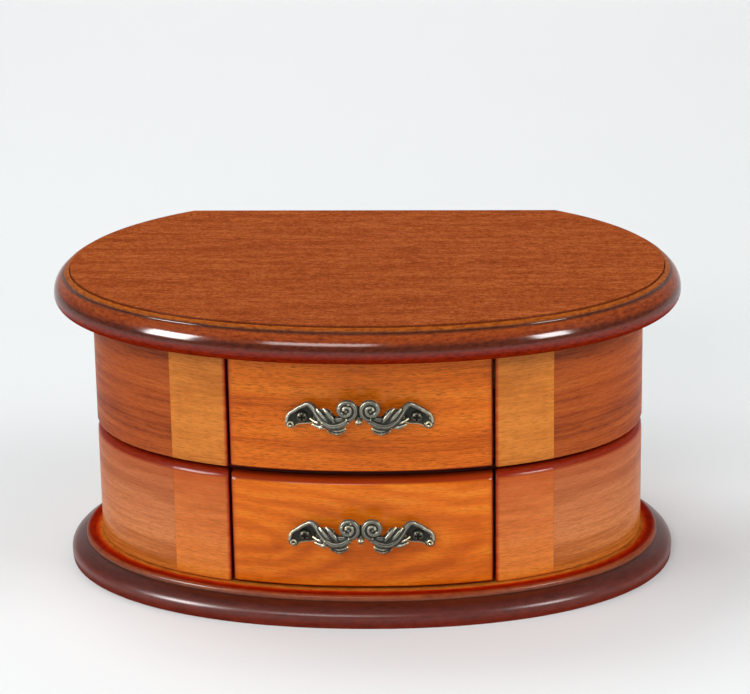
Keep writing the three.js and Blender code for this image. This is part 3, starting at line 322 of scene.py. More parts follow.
def lacquered_wood(name, dark, middle, light, followed=True, figure=None, shine=0.32, gloss=0.16,
                   pores=0.5, seed=0.0, band_mm=9.0, mottled=0.0, toner_and_painted_light=None, end=None, shaded_by_height=None,
                   edge=None, polish=None, squeeze=grain_squeeze, speck_mm=7.0, fore_and_aft=False):
    """Stained wood under lacquer, with its fibres along X, or along Y when they run fore and aft.

    Seed moves the cut in the log. Mottled is the share of the clouds, which are as large as speck_mm.

    Colour stops come as (mm, colour) lists: one across the grain map, toning with painted shade and
    highlights; end, along it, painted shade beside a gap; and one by height, painted shade. Polish is the
    gloss across a moulding, from black to white. Edge is painted shade and reflection, a darker colour
    where the surface turns to one axis: the axis, where it starts and is full, its strength and its colour.
    """
    finish, tree, surface, in_mm = new_finish(name)
    vector = shader_node(tree, "ShaderNodeUVMap", uv_map="grain").outputs["UV"] if followed else in_mm
    if fore_and_aft:
        vector = stretched(tree, vector, (1, 1, 1), (0, 0, quarter))
    shifted = shader_node(tree, "ShaderNodeMapping",
                          {"Vector": vector, "Location": (seed * 9, seed * 0.7, seed)})
    place = shifted.outputs["Vector"]
    along = stretched(tree, place, (squeeze, 1, 1))
    tone = grain_tone(tree, place, along, band_mm, figure, mottled, speck_mm)
    pore = open_pores(tree, along)
    wood = ramp(tree, tone, [(0.32, dark), (0.5, middle), (0.66, light)])
    # Toning with painted shade and highlights across the grain, painted shade along it at a gap, and painted
    # shade by height.
    for stops, axis, source in ((toner_and_painted_light, "Y", vector), (end, "X", vector), (shaded_by_height, "Z", in_mm)):
        if stops:
            wood = blend_colours(tree, 1.0, wood, toner_and_shade_ramp(tree, source, axis, stops), "MULTIPLY")
    # Painted shade and reflection where the surface faces one way.
    if edge:
        axis, none_at, full_at, strength, edge_colour = edge
        normal = shader_node(tree, "ShaderNodeTexCoord").outputs["Normal"]
        turned = share_between(tree, axis_of(tree, normal, axis), none_at, full_at)
        wood = blend_colours(tree, maths(tree, "MULTIPLY", turned, strength), wood, linear(edge_colour))
    pore_colour = [channel * pore_darkness for channel in linear(dark)[:3]] + [1]
    shaded = blend_colours(tree, maths(tree, "MULTIPLY", pore, pores), wood, pore_colour)
    coat = shine
    if polish:
        rubbed = shader_node(tree, "ShaderNodeRGBToBW", {"Color": toner_and_shade_ramp(tree, vector, "Y", polish)})
        coat = maths(tree, "MULTIPLY", rubbed.outputs["Val"], shine)
    feed(tree, surface, {"Base Color": shaded, "Roughness": sealed_roughness, "Specular IOR Level": 0.0,
                         "Coat Weight": coat, "Coat Roughness": gloss, "Coat IOR": lacquer_index})
    roughen(tree, surface, maths(tree, "MULTIPLY", pore, -1.0), pore_depth, strength=0.25)
    return finish


print("sealed wood has a roughness of", sealed_roughness, "below the lacquer")

# %% [markdown]
# The lower drawer front is cut flat through the rings, so it shows pointed arches that lie on their
# side. They are rings round one far point, squeezed along the board, with a slow wander added. The
# arches are faint on the real front, so the figure gets only a small share of the tone.

# %% Cathedral figure
tip_x = 640.0
tip_y = 88.0
tip_sharpness = 0.2
rings_per_mm = 0.95
wander_mm = 60.0
wobble = 15.0


def cathedral(tree, vector):
    wander = noise(tree, stretched(tree, vector, (0.012, 0.03, 0.03)), 1.0, roughness=0.55)
    x = maths(tree, "MULTIPLY_ADD", wander, wander_mm, axis_of(tree, vector, "X"))
    x = maths(tree, "MULTIPLY", maths(tree, "SUBTRACT", x, tip_x), tip_sharpness)
    y = maths(tree, "SUBTRACT", axis_of(tree, vector, "Y"), tip_y)
    squares = maths(tree, "ADD", maths(tree, "MULTIPLY", x, x), maths(tree, "MULTIPLY", y, y))
    arch = maths(tree, "MULTIPLY", maths(tree, "SQRT", squares), rings_per_mm)
    wave = maths(tree, "SINE", maths(tree, "MULTIPLY_ADD", wander, wobble, arch))
    return maths(tree, "MULTIPLY_ADD", wave, 0.5, 0.5)


print("tip of the arches at", tip_x, tip_y)

# %% [markdown]
# ## The woods of the box
# The colours come from the stain. The lid's veneer is a red-brown mahogany with the grain along
# the box, and the side of its panel is painted dark as shade. The drawer fronts and the staves beside
# them are stained orange, the outer staves a shade darker. The moulding round the lid is sprayed
# darker still, with a mottled edge, and the base is nearly maroon. Each list of toner below follows
# one moulding from its foot to the top, in millimetres along its surface: a dark nose, a line in the
# quirk, then a lighter ledge. The lists carry painted light as well: the dark lines in the quirks and
# at the panel's step and the dark band on the lid's nose are painted shade, the pale line on the base's
# arris is a painted highlight, and the pale ledge of the lid is partly one. The lower staves are
# lighter copies of the staves above, painted light from the floor, with painted shade that deepens
# towards the groove above them and lifts towards the ledge. The ends beside the gap at the drawers
# are painted redder as shade, and rounded edges that face up or turn from the front are painted dark
# red, a painted reflection.

# %% Wood finishes
# Toner with painted light: the dark band on the nose and the dark lines in the quirk and at the panel's step
# are painted shade, and the pale ledge is partly a painted highlight.
lid_toner_and_painted_light = [(0, "#843830"), (4, "#b44838"), (8.0, "#a84438"), (9.8, "#7c4438"), (11.8, "#704438"),
             (13.8, "#b47454"), (17.3, "#c08454"), (18.3, "#7c5448"), (19.4, "#6c4c40"), (20.1, "#c8a078"),
             (22.4, "#d8b084"), (23.0, "#7c5448"), (26, "#6a4c44"), (30, "#a8705c"), (34, "#a8705c")]
lid_polish = [(0, "#000000"), (6, "#181818"), (9, "#ffffff"), (19, "#ffffff"), (20.5, "#a0a0a0"),
              (26, "#303030")]
# Toner with painted light: the dark line in the quirk is painted shade, the pale line on the arris a painted
# highlight.
base_toner_and_painted_light = [(0, "#a85c64"), (6, "#985868"), (11, "#784c64"), (15.5, "#6c4658"), (16.7, "#5a4550"),
              (17.3, "#b89484"), (19.5, "#c49484"), (20.1, "#b04028"), (22.6, "#c84820"), (24.0, "#ff9450"),
              (24.8, "#fff0a0"), (28, "#ffe8a0")]
base_polish = [(0, "#404040"), (4, "#707070"), (7, "#ffffff"), (17, "#ffffff"), (19.5, "#a0a0a0"),
               (21, "#202020"), (28, "#202020")]
# Painted shade by height on the lower staves: darker and redder towards the groove at the top, paler towards
# the ledge.
low_painted_shade = [(16, "#fff0a8"), (24, "#fff4d8"), (36, "#f4e4e0"), (52, "#e8d4d0"), (66, "#d4a894"),
            (70, "#b87860")]
# Painted shade: a stave's end beside the gap to the drawer is darker and redder.
painted_end_shade = [(0, "#a03820"), (0.7, "#c86040"), (2.2, "#ffffff"), (60, "#ffffff")]
# Painted reflection: rounds and tops of staves that face up are painted dark red.
painted_upward_reflection = ("Z", 0.1, 0.4, 0.9, "#8a1808")
# Painted reflection: on the drawer fronts, rounds that turn away from the front are painted dark red.
painted_turned_reflection = ("Y", -0.95, -0.82, 0.9, "#90200a")
# Painted shade: the side faces of the lid panel are painted dark brown.
painted_side_shade = ("Z", 0.9, 0.5, 0.7, "#5c2612")

lid_veneer = lacquered_wood("mahogany_veneer_lacquered", "#682608", "#9e4a1e", "#c06c34", followed=False,
                            shine=0.06, gloss=0.25, band_mm=5, pores=0.9, squeeze=0.13, mottled=0.55,
                            speck_mm=1.3, edge=painted_side_shade)
lid_edge = lacquered_wood("toned_and_shaded_mahogany_moulding", "#7a3e14", "#c07830", "#dc984c", shine=0.9, gloss=0.12,
                          band_mm=5, pores=0.25, seed=31, mottled=0.8, speck_mm=1.4, toner_and_painted_light=lid_toner_and_painted_light,
                          polish=lid_polish)
base_edge = lacquered_wood("maroon_toned_and_shaded_moulding", "#80441c", "#b86c3c", "#d0884c", shine=1.0, gloss=0.28,
                           band_mm=6, pores=0.2, seed=57, mottled=0.6, speck_mm=2.5, toner_and_painted_light=base_toner_and_painted_light,
                           polish=base_polish)
upper_front = lacquered_wood("orange_veneer_straight_grain", "#a44008", "#de6c14", "#ec8022", band_mm=7,
                             seed=11, pores=0.7, edge=painted_turned_reflection)
lower_front = lacquered_wood("orange_veneer_cathedral_figure", "#c8580e", "#e67216", "#f08826", band_mm=9,
                             seed=73, figure=cathedral, edge=painted_turned_reflection)
light_stave = lacquered_wood("light_stave_lacquered", "#b4601c", "#da8030", "#e8923e", band_mm=6, seed=23,
                             mottled=0.3, end=painted_end_shade)
dark_stave = lacquered_wood("dark_stave_lacquered", "#702808", "#ae4e18", "#c46424", band_mm=7, seed=41,
                            shine=0.3, edge=painted_upward_reflection)
# The lower staves are lighter, paler copies of the staves above: painted light and glare from the floor.
low_light_stave_painted_lighter = lacquered_wood("lower_light_stave_painted_lighter", "#c46a2c", "#ea8840", "#f69e54", band_mm=6,
                                 seed=29, end=painted_end_shade, mottled=0.3, shaded_by_height=low_painted_shade, edge=painted_upward_reflection)
low_dark_stave_painted_lighter = lacquered_wood("lower_dark_stave_painted_lighter", "#b4602a", "#dc8a50", "#ea9e64", band_mm=7,
                                seed=47, shine=0.4, shaded_by_height=low_painted_shade, edge=painted_upward_reflection)
# Near black: painted shade for the middle shelf, deep in the groove between the drawers.
shadow_edge = lacquered_wood("painted_shade_shelf_edge", "#1e0603", "#360d05", "#471408", followed=False, gloss=0.35,
                             seed=5, shine=0.1)
back_wood = lacquered_wood("back_panel_mahogany", "#5e230e", "#7c3614", "#93471d", followed=False, gloss=0.25,
                           band_mm=10, seed=87)
poplar = {"dark": "#8a5c34", "middle": "#ad7d4e", "light": "#c0935f", "followed": False, "gloss": 0.5,
          "shine": 0.1, "band_mm": 8}
inner_wood = lacquered_wood("inner_poplar_board", seed=19, **poplar)
side_wood = lacquered_wood("inner_poplar_side_board", seed=37, fore_and_aft=True, **poplar)
print("materials now:", [material.name for material in bpy.data.materials])

# %% [markdown]
# ## The outline
# Seen from above, the body is a superellipse: its front half is a little squarer than an ellipse
# and its rear half a little rounder, and a straight back cuts it off. Each moulding runs parallel
# to this outline, so a point is pushed out along the outline's normal, not scaled from the middle.

# %% The plan outline
body_half_width = 127.6
body_front_depth = 78.7
body_rear_depth = 93.3
front_fullness = 2.12
rear_fullness = 1.96


def signed_power(value, exponent):
    return math.copysign(abs(value) ** exponent, value)


def plan_point(angle, offset):
    """A point of the outline, in millimetres, pushed out by offset."""
    front = math.sin(angle) < 0
    depth = body_front_depth if front else body_rear_depth
    fullness = front_fullness if front else rear_fullness
    x = body_half_width * signed_power(math.cos(angle), 2 / fullness)
    y = depth * signed_power(math.sin(angle), 2 / fullness)
    slope_x = signed_power(x / body_half_width, fullness - 1) / body_half_width
    slope_y = signed_power(y / depth, fullness - 1) / depth
    steepness = math.hypot(slope_x, slope_y)
    return x + offset * slope_x / steepness, y + offset * slope_y / steepness


print("widest place of the outline:", [round(value, 1) for value in plan_point(0, 0)])

# %% [markdown]
# Other places on the outline have no formula, so they are found by halving: a test changes its sign
# at the wanted place, for instance where the front reaches a given x. The lid and the base are stacks
# of rings of this outline, and quarter rounds make the profiles that the rings follow.

# %% Places, rings and quarter rounds
back_y = 78.0
outline_steps = 150
halvings = 50


def solve(test, low, high):
    """Closes in on the place between low and high where the test changes its sign."""
    for _ in range(halvings):
        middle = (low + high) / 2
        if (test(middle) < 0) == (test(low) < 0):
            low = middle
        else:
            high = middle
    return (low + high) / 2


def front_angle(x, offset=0.0):
    return solve(lambda angle: plan_point(angle, offset)[0] - x, -math.pi, 0)


def front_y(x, offset=0.0):
    return plan_point(front_angle(x, offset), offset)[1]


def outline_ring(offset, height, back=back_y):
    """One closed ring of a slab, from the right back corner round the front to the left one."""
    start = solve(lambda angle: plan_point(angle, offset)[1] - back, 0, quarter)
    ring = []
    for i in range(outline_steps + 1):
        x, y = plan_point(start - (2 * start + math.pi) * i / outline_steps, offset)
        ring.append((x, back if i in (0, outline_steps) else y, height))
    return ring


def arc(centre, radii, start, end, steps):
    """Points on a quarter round of a moulding."""
    turns = [start + (end - start) * i / steps for i in range(steps + 1)]
    return [(centre[0] + radii[0] * math.cos(turn), centre[1] + radii[1] * math.sin(turn)) for turn in turns]


print("front of the body at", round(front_y(0), 2), "mm")

# %% [markdown]
# ## Bending a sheet round the outline
# A moulding, a stave and a bowed drawer front are all the same kind of shape: one section carried
# along a curve. In Blender that is a grid primitive with one row of vertices for each section. The
# grid is added, its rows are moved into place, the seams where it meets itself are merged, and open
# ends are filled. The result is one closed skin with even quads, which shades smoothly. While the
# sheet is still a grid, the distances along it are easy to tell, so its grain map is written then.

# %% The bending helper
def distances(places):
    """How far along a line each of its places lies."""
    reached = [0.0]
    for one, two in zip(places, places[1:]):
        reached.append(reached[-1] + math.dist(one, two))
    return reached


def write_grain(piece, rows, along_rows):
    """The grain map: millimetres along the fibres and across them, from the sheet's middle lines."""
    across_rows = distances([row[len(row) // 2] for row in rows])
    in_row = distances(rows[len(rows) // 2])
    columns = len(rows[0])
    grain = piece.data.uv_layers[0]
    grain.name = "grain"
    for loop in piece.data.loops:
        i, j = divmod(loop.vertex_index, columns)
        along, across = (in_row[j], across_rows[i]) if along_rows else (across_rows[i], in_row[j])
        grain.data[loop.index].uv = (along, across)


seam_merge = 0.002


def bend_sheet(name, rows, close_rows=True, close_ends=False, grain_in_rows=True):
    """A grid whose rows take the given places, in millimetres. The rows or the ends may be closed."""
    rows = [row + [row[0]] for row in rows] if close_rows else rows
    rows = rows + [rows[0]] if close_ends else rows
    clear_selection()
    bpy.ops.mesh.primitive_grid_add(x_subdivisions=len(rows[0]) - 1, y_subdivisions=len(rows) - 1, size=1)
    piece = bpy.context.object
    piece.name = piece.data.name = name
    for vertex, spot in zip(piece.data.vertices, (spot for row in rows for spot in row)):
        vertex.co = Vector(spot) * mm
    write_grain(piece, rows, grain_in_rows)
    bpy.ops.object.mode_set(mode="EDIT")
    bpy.ops.mesh.select_all(action="SELECT")
    if close_rows:
        bpy.ops.mesh.remove_doubles(threshold=seam_merge * mm)
        bpy.ops.mesh.fill_holes(sides=0)
        bpy.ops.mesh.select_all(action="SELECT")
    bpy.ops.mesh.normals_make_consistent(inside=False)
    bpy.ops.object.mode_set(mode="OBJECT")
    return piece


print("seams are merged within", seam_merge, "mm")

# %% [markdown]
# ## Modifiers and copies
# A modifier is added and applied at once, so that what is seen is real geometry. Some pieces start as
# a copy of a CAD mesh, and its loose triangles have to be merged first, because a bevel or smooth
# shading needs to know which faces meet.

# %% Modifiers, copies and joins
cad_merge = 0.005


def apply_modifier(piece, kind, **settings):
    pick(piece)
    bpy.ops.object.modifier_add(type=kind)
    modifier = piece.modifiers[-1]
    for name, value in settings.items():
        setattr(modifier, name, value)
    bpy.ops.object.modifier_apply(modifier=modifier.name)


def round_edges(piece, width_mm, sharper_than):
    """A small bevel on the edges that turn by more than so many degrees."""
    apply_modifier(piece, "BEVEL", width=width_mm * mm, segments=2, limit_method="ANGLE",
                   angle_limit=math.radians(sharper_than))


def mesh_copy(name, source, merged=True):
    """A new object with a copy of another one's mesh, its triangles joined if they are loose."""
    piece = bpy.data.objects.new(name, source.data.copy())
    bpy.context.collection.objects.link(piece)
    if merged:
        pick(piece)
        bpy.ops.object.mode_set(mode="EDIT")
        bpy.ops.mesh.select_all(action="SELECT")
        bpy.ops.mesh.remove_doubles(threshold=cad_merge * mm)
        bpy.ops.object.mode_set(mode="OBJECT")
    return piece


def join(parts):
    """Joins the parts into the first one."""
    clear_selection()
    for part in parts:
        part.select_set(True)
    bpy.context.view_layer.objects.active = parts[0]
    bpy.ops.object.join()
    return parts[0]


def box_in_mm(node):
    """The low and the high corner of a CAD node."""
    return [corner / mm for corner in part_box(node)]


print("CAD points are merged within", cad_merge, "mm")

# %% [markdown]
# ## Finishing a piece
# Every piece goes through the same last steps. It gets smooth shading, except over its sharp edges,
# and its finish.

# %% Last steps of a piece
smooth_limit = 35


def finish_piece(piece, material, body, node, smooth_below=smooth_limit):
    """Smooth shading, the finish, the body that it rides on and the CAD node that it stands for."""
    pick(piece)
    bpy.ops.object.shade_smooth_by_angle(angle=math.radians(smooth_below))
    piece.data.materials.clear()
    piece.data.materials.append(material)
    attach(piece, body)
    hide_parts(node)
    print(piece.name, "faces:", len(piece.data.polygons))


print("faces shade smoothly where they turn by less than", smooth_limit, "degrees")

# %% [markdown]
# ## The lid
# The lid is a veneered panel, one millimetre proud, set in a moulded frame. The panel is a thin slab
# of the outline, and its upper edge has a tiny rounded arris, which catches a fine line of light.

# %% Lid panel
body_top = 129.0
lid_gap = 0.3
lid_height = 16.8
lid_bottom = body_top + lid_gap
lid_top = lid_bottom + lid_height
panel_edge = 9.6
panel_rim = 7.1
panel_thickness = 4.0
arris = 0.5

rabbet_height = lid_top - panel_thickness
panel_arris = arc((panel_edge - arris, lid_top - arris), (arris, arris), 0, quarter, steps=3)
panel_profile = [(panel_edge, rabbet_height)] + panel_arris + [(panel_rim, lid_top)]
lid_panel = bend_sheet("lid_veneered_panel", [outline_ring(offset, z) for offset, z in panel_profile])
finish_piece(lid_panel, lid_veneer, "lid", "lid_top_panel")

# %% [markdown]
# The frame's profile goes from a narrow sloping ledge round the panel, over a small step, into a full
# bullnose. Below it curves back to the body. Each line of the profile is a ring of the outline at one
# offset and one height, and the last ring joins the first, so the frame is a closed ring of wood.
# Along the straight back, the panel lies on a rail. There two more points keep each ring below the
# panel, so the rail stops under it, and the moulding ends in its own section on both sides.

# %% Lid frame
panel_step = 1.0
ledge_width = 3.2
ledge_fall = 0.6
quirk = 1.2
lid_bulge = 17.3
bulge_height = lid_top - 11.4
under_bulge = 12.1
frame_inset = 7.0
back_rail = 14.0
rail_point = 40.0
quirk_ease = 0.35
glue_gap = 0.3

ledge_height = lid_top - panel_step
ledge_edge = panel_edge + ledge_width
ledge_rim = ledge_height - ledge_fall
nose_top = ledge_rim - quirk
nose_turn = 1.2
nose_reach = (lid_bulge - ledge_edge) / (1 - math.cos(nose_turn))
nose_rise = (nose_top - bulge_height) / math.sin(nose_turn)
upper_nose = arc((lid_bulge - nose_reach, bulge_height), (nose_reach, nose_rise), 0, nose_turn, steps=12)
lower_nose = arc((under_bulge, bulge_height), (lid_bulge - under_bulge, bulge_height - lid_bottom),
                 -quarter, 0, steps=12)
quirk_edge = upper_nose[-1][0] - quirk / 2
panel_seat = panel_edge + glue_gap
frame_profile = lower_nose + upper_nose[1:] + [
    (quirk_edge + 0.1, nose_top + 0.05), (quirk_edge, nose_top + 0.3),
    (quirk_edge, ledge_rim - quirk_ease), (quirk_edge - quirk_ease, ledge_rim),
    (panel_seat, ledge_height), (panel_seat, rabbet_height)]
panel_corner = outline_ring(panel_seat, rabbet_height)[0][0]
rail_front = back_y - back_rail
frame_rings = []
for offset, z in frame_profile:
    back_points = [(x, back_y, min(z, rabbet_height)) for x in (-panel_corner, panel_corner)]
    frame_rings.append(outline_ring(offset, z) + back_points)
for z in (rabbet_height, lid_bottom):
    back_points = [(x, rail_front, z) for x in (-rail_point, rail_point)]
    frame_rings.append(outline_ring(-frame_inset, z, rail_front) + back_points)
lid_frame = bend_sheet("lid_moulded_frame", frame_rings, close_ends=True)
finish_piece(lid_frame, lid_edge, "lid", "lid_moulding")

# %% [markdown]
# ## The mirror
# A sheet of mirror glass closes the frame from below. Its face is pure reflection, and a narrow
# bevel round its edge catches the light when the lid is open.

# %% Mirror
silvered_glass, tree, surface, vector = new_finish("silvered_mirror_glass")
haze = ramp(tree, noise(tree, vector, 40.0, detail=2), [(0.3, "#dfe5e6"), (0.7, "#e9eeee")])
feed(tree, surface, {"Metallic": 1.0, "Roughness": 0.02, "Base Color": haze})

mirror_low, mirror_high = box_in_mm("lid_mirror")
mirror_back = mirror_high.y
mirror_play = 0.5
mirror_edge = -frame_inset - mirror_play
mirror_bevel = 4.0
bevel_fall = 0.8
mirror_rings = [outline_ring(mirror_edge - mirror_bevel, mirror_low.z, mirror_back - mirror_bevel),
                outline_ring(mirror_edge, mirror_low.z + bevel_fall, mirror_back),
                outline_ring(mirror_edge, mirror_high.z, mirror_back)]
mirror = bend_sheet("bevelled_mirror", mirror_rings)
finish_piece(mirror, silvered_glass, "lid", "lid_mirror", smooth_below=5)

# %% [markdown]
# ## The base
# The base is one thick slab. Its top shows as a flat ledge round the body with a rounded arris,
# and below that the edge swells out into a wide bullnose, which tucks in at the floor.

# %% Base slab
felt_thickness = 1.0
base_height = 16.0
base_ledge = 6.2
base_round = 1.5
base_quirk = 1.0
base_bulge = 14.8
base_bulge_height = 7.5
foot_bulge = 13.4
swell_turn = 1.0
under_body = -12.0

shoulder = base_height - base_round - base_quirk
swell = (base_bulge - base_ledge - base_round) / (1 - math.cos(swell_turn))
swell_rise = (shoulder - base_bulge_height) / math.sin(swell_turn)
foot = arc((foot_bulge, base_bulge_height), (base_bulge - foot_bulge, base_bulge_height - felt_thickness),
           -quarter, 0, steps=8)
swelling = arc((base_bulge - swell, base_bulge_height), (swell, swell_rise), 0, swell_turn, steps=12)
ledge_arris = arc((base_ledge, base_height - base_round), (base_round, base_round), 0, quarter, steps=5)
base_profile = foot + swelling[1:] + ledge_arris + [(under_body, base_height)]
base_rings = [outline_ring(offset, z) for offset, z in base_profile]
base = bend_sheet("moulded_base", base_rings)
finish_piece(base, base_edge, "root", "base_plinth")

# %% [markdown]
# ## The blocks of two staves
# Beside each drawer stands a solid block, glued up from two staves that follow the oval. The seam
# shows only as a change of colour. The long edges are rounded over, and so is the end beside the
# drawer, where the radius shrinks round the corner. A bevel could round them, but it would stop short
# at the corner, so the rounds are part of the section, and the first few sections shrink.

# %% Sections of a stave
block_thickness = 10.0
edge_round = 1.2
length_steps = 200
stave_sections = 26
head_sections = 5
first_turn = 0.2


def angle_along(start, end):
    """Gives the whole length of a stretch of the outline, and a function from length to angle."""
    angles = [start + (end - start) * i / length_steps for i in range(length_steps + 1)]
    lengths = distances([plan_point(angle, 0) for angle in angles])

    def angle_at(length):
        i = next((i for i, reached in enumerate(lengths) if reached >= length), length_steps)
        if i == 0:
            return angles[0]
        share = (length - lengths[i - 1]) / (lengths[i] - lengths[i - 1])
        return angles[i - 1] + (angles[i] - angles[i - 1]) * share

    return lengths[-1], angle_at


def rounded_face(bottom, top, top_round, inset=0.0):
    """The outer side of a section, from its lower round to its upper one."""
    lower = arc((-edge_round, bottom + edge_round), (edge_round - inset,) * 2, -quarter, 0, steps=5)
    upper = arc((-top_round, top - top_round), (top_round - inset,) * 2, 0, quarter, steps=6)
    return lower + upper


def stave_rows(start, end, bottom, top, top_round, side, rounded):
    """Sections of a stave, from the drawer to the back. Side is -1 for the left of the box."""
    whole, angle_at = angle_along(start, end)
    turns = [quarter * (first_turn + (1 - first_turn) * i / head_sections) for i in range(head_sections + 1)]
    head = [(edge_round * (1 - math.cos(t)), edge_round * (1 - math.sin(t))) for t in turns]
    head = [(distance - head[0][0], inset) for distance, inset in head] if rounded else [(0.0, 0.0)]
    run = head[-1][0]
    stations = head + [(run + (whole - run) * i / stave_sections, 0.0) for i in range(1, stave_sections + 1)]
    rows = []
    for distance, inset in stations:
        section = [(-block_thickness, bottom + inset), *rounded_face(bottom, top, top_round, inset),
                   (-block_thickness, top - inset)]
        angle = angle_at(distance)
        square = 1 - distance / whole if rounded else 0
        outer_x = plan_point(angle, 0)[0]
        row = []
        for offset, z in section:
            turned = angle + (front_angle(outer_x, offset) - angle) * square if square else angle
            x, y = plan_point(turned, offset)
            row.append((side * x, y, z))
        rows.append(row)
    return rows


print("blocks are", block_thickness, "mm thick")

# %% [markdown]
# Some places are cut, not bent: a block-shaped cutter takes a bite out of the piece with a Boolean,
# and is thrown away.

# %% The cutter
def cut_with_block(piece, x_span, y_span, z_span):
    """Takes a block-shaped bite out of a piece."""
    clear_selection()
    middle = [(low + high) / 2 * mm for low, high in (x_span, y_span, z_span)]
    bpy.ops.mesh.primitive_cube_add(size=1, location=middle)
    cutter = bpy.context.object
    cutter.scale = [(high - low) * mm for low, high in (x_span, y_span, z_span)]
    bpy.ops.object.transform_apply()
    apply_modifier(piece, "BOOLEAN", object=cutter, operation="DIFFERENCE")
    bpy.data.objects.remove(cutter)


print("cutter ready")

# %% [markdown]
# The rearmost stave is cut off flat behind and notched for the back panel. The lower blocks and the
# lower drawer have a wider round along their top edge, which shows as a bright band under the shelf.

# %% Staves
lower_top_round = 3.8
opening_half_width = 60.0
stave_seam = 0.08
radius_at_seam = 125.0
seam_x = 86.3
groove_bottom = 70.0
groove_top = 72.2
panel_front = 72.0
cut_play = 0.3


def inner_angle(y):
    """Where the inner face of the rear staves reaches this far back."""
    return solve(lambda angle: plan_point(angle, -block_thickness)[1] - y, 0, quarter)


opening_angle = front_angle(opening_half_width)
seam_angle = front_angle(seam_x)
half_seam = stave_seam / 2 / radius_at_seam
past_back = inner_angle(back_y + cut_play)
panel_half_width = plan_point(inner_angle(panel_front), -block_thickness)[0]
whole_width, whole_height = (-200, 200), (0, 150)
for level, bottom, top, top_round, light_wood, dark_wood in (
        ("upper", groove_top, body_top, edge_round, light_stave, dark_stave),
        ("lower", base_height, groove_bottom, lower_top_round, low_light_stave_painted_lighter, low_dark_stave_painted_lighter)):
    for word, side in (("left", -1), ("right", 1)):
        front = bend_sheet(f"{level}_{word}_stave_by_drawer", stave_rows(
            opening_angle, seam_angle - half_seam, bottom, top, top_round, side, True), grain_in_rows=False)
        finish_piece(front, light_wood, "root", f"{level}_{word}_front_stave")
        rear = bend_sheet(f"{level}_{word}_outer_stave", stave_rows(
            seam_angle + half_seam, past_back, bottom, top, top_round, side, False), grain_in_rows=False)
        cut_with_block(rear, whole_width, (back_y - cut_play, 120), whole_height)
        notch = sorted((0, side * (panel_half_width + cut_play)))
        cut_with_block(rear, notch, (panel_front - cut_play, 90), whole_height)
        finish_piece(rear, dark_wood, "root", f"{level}_{word}_side_stave")

# %% [markdown]
# ## The drawer fronts
# Each front is a solid board, bowed outside and flat behind, with its top and bottom edges rounded
# over. It is the same section all the way across, moved in and out with the outline. Its ends are
# only eased, which a small bevel does.

# %% Drawer fronts
front_half_width = 58.8
drawer_back_face = -62.0
edge_gap = 0.9
front_sections = 44
end_ease = 0.6

for level, bottom, top, top_round, front_wood in (
        ("upper", groove_top + edge_gap, body_top - edge_gap, edge_round, upper_front),
        ("lower", base_height + edge_gap, groove_bottom - edge_gap, lower_top_round, lower_front)):
    rows = []
    for i in range(front_sections + 1):
        x = front_half_width * (2 * i / front_sections - 1)
        face = front_y(x)
        bow = [(x, face - offset, z) for offset, z in rounded_face(bottom, top, top_round)]
        rows.append([(x, drawer_back_face, bottom), *bow, (x, drawer_back_face, top)])
    front = bend_sheet(f"{level}_bowed_drawer_front", rows, grain_in_rows=False)
    round_edges(front, end_ease, sharper_than=60)
    finish_piece(front, front_wood, f"{level}_drawer", f"{level}_drawer_front")

# %% [markdown]
# ## Metals
# The pulls are zinc castings with an antique brass finish: brassed, then darkened, and rubbed back
# on the high places. A shader can find the high places with Pointiness, which is above one half on
# a ridge and below it in a groove. The hinges and the movement are plain brass and steel, brushed
# by their tools, so their roughness is streaked.

# %% Metal finishes
groove_pointiness = 0.494
ridge_pointiness = 0.542
plated_metallic = 0.75
dull_roughness = 0.4
rubbing = 0.14
grime_mm = 1.3


def aged_casting(name, hollow_colour, middle_colour, rubbed_colour):
    """Darkened brass plate that is rubbed bright on its ridges."""
    metal, tree, surface, vector = new_finish(name)
    pointiness = shader_node(tree, "ShaderNodeNewGeometry").outputs["Pointiness"]
    worn = ramp(tree, pointiness, [(groove_pointiness, "#000000"), (ridge_pointiness, "#ffffff")])
    grime = noise(tree, vector, grime_mm, detail=4, roughness=0.6)
    cleaned = maths(tree, "MULTIPLY_ADD", grime, 0.6, 0.6)
    high = maths(tree, "MULTIPLY", worn, cleaned, clamp=True)
    colour = ramp(tree, high, [(0.12, hollow_colour), (0.42, middle_colour), (0.85, rubbed_colour)])
    feed(tree, surface, {"Base Color": colour, "Metallic": plated_metallic,
                         "Roughness": maths(tree, "MULTIPLY_ADD", high, -rubbing, dull_roughness)})
    roughen(tree, surface, noise(tree, vector, 0.35, detail=2), depth_mm=0.02, strength=0.35)
    return metal


antique_brass = aged_casting("antique_brass_casting", "#2c2b26", "#807e72", "#e8dcac")
blackened_screw = aged_casting("blackened_brass_screw", "#151411", "#3c3a33", "#5f5a4b")


def brushed_metal(name, dark, light, roughness, along=(1, 8, 8)):
    """Metal with fine tool marks along one axis."""
    metal, tree, surface, vector = new_finish(name)
    marks = noise(tree, stretched(tree, vector, along), 1.0, roughness=0.6)
    feed(tree, surface, {"Base Color": ramp(tree, marks, [(0.3, dark), (0.7, light)]), "Metallic": 1.0,
                         "Roughness": maths(tree, "MULTIPLY_ADD", marks, 0.2, roughness - 0.1)})
    roughen(tree, surface, marks, depth_mm=0.01, strength=0.2)
    return metal


satin_brass = brushed_metal("satin_brass_sheet", "#b08a3e", "#d8b564", 0.32)
blued_steel = brushed_metal("polished_spring_steel", "#8f969c", "#c2c7cb", 0.26, along=(8, 8, 1))
plated_steel = brushed_metal("nickel_plated_steel", "#a5a9ac", "#d0d3d4", 0.22)
metals = (antique_brass, blackened_screw, satin_brass, blued_steel, plated_steel)
print("metals:", [metal.name for metal in metals])

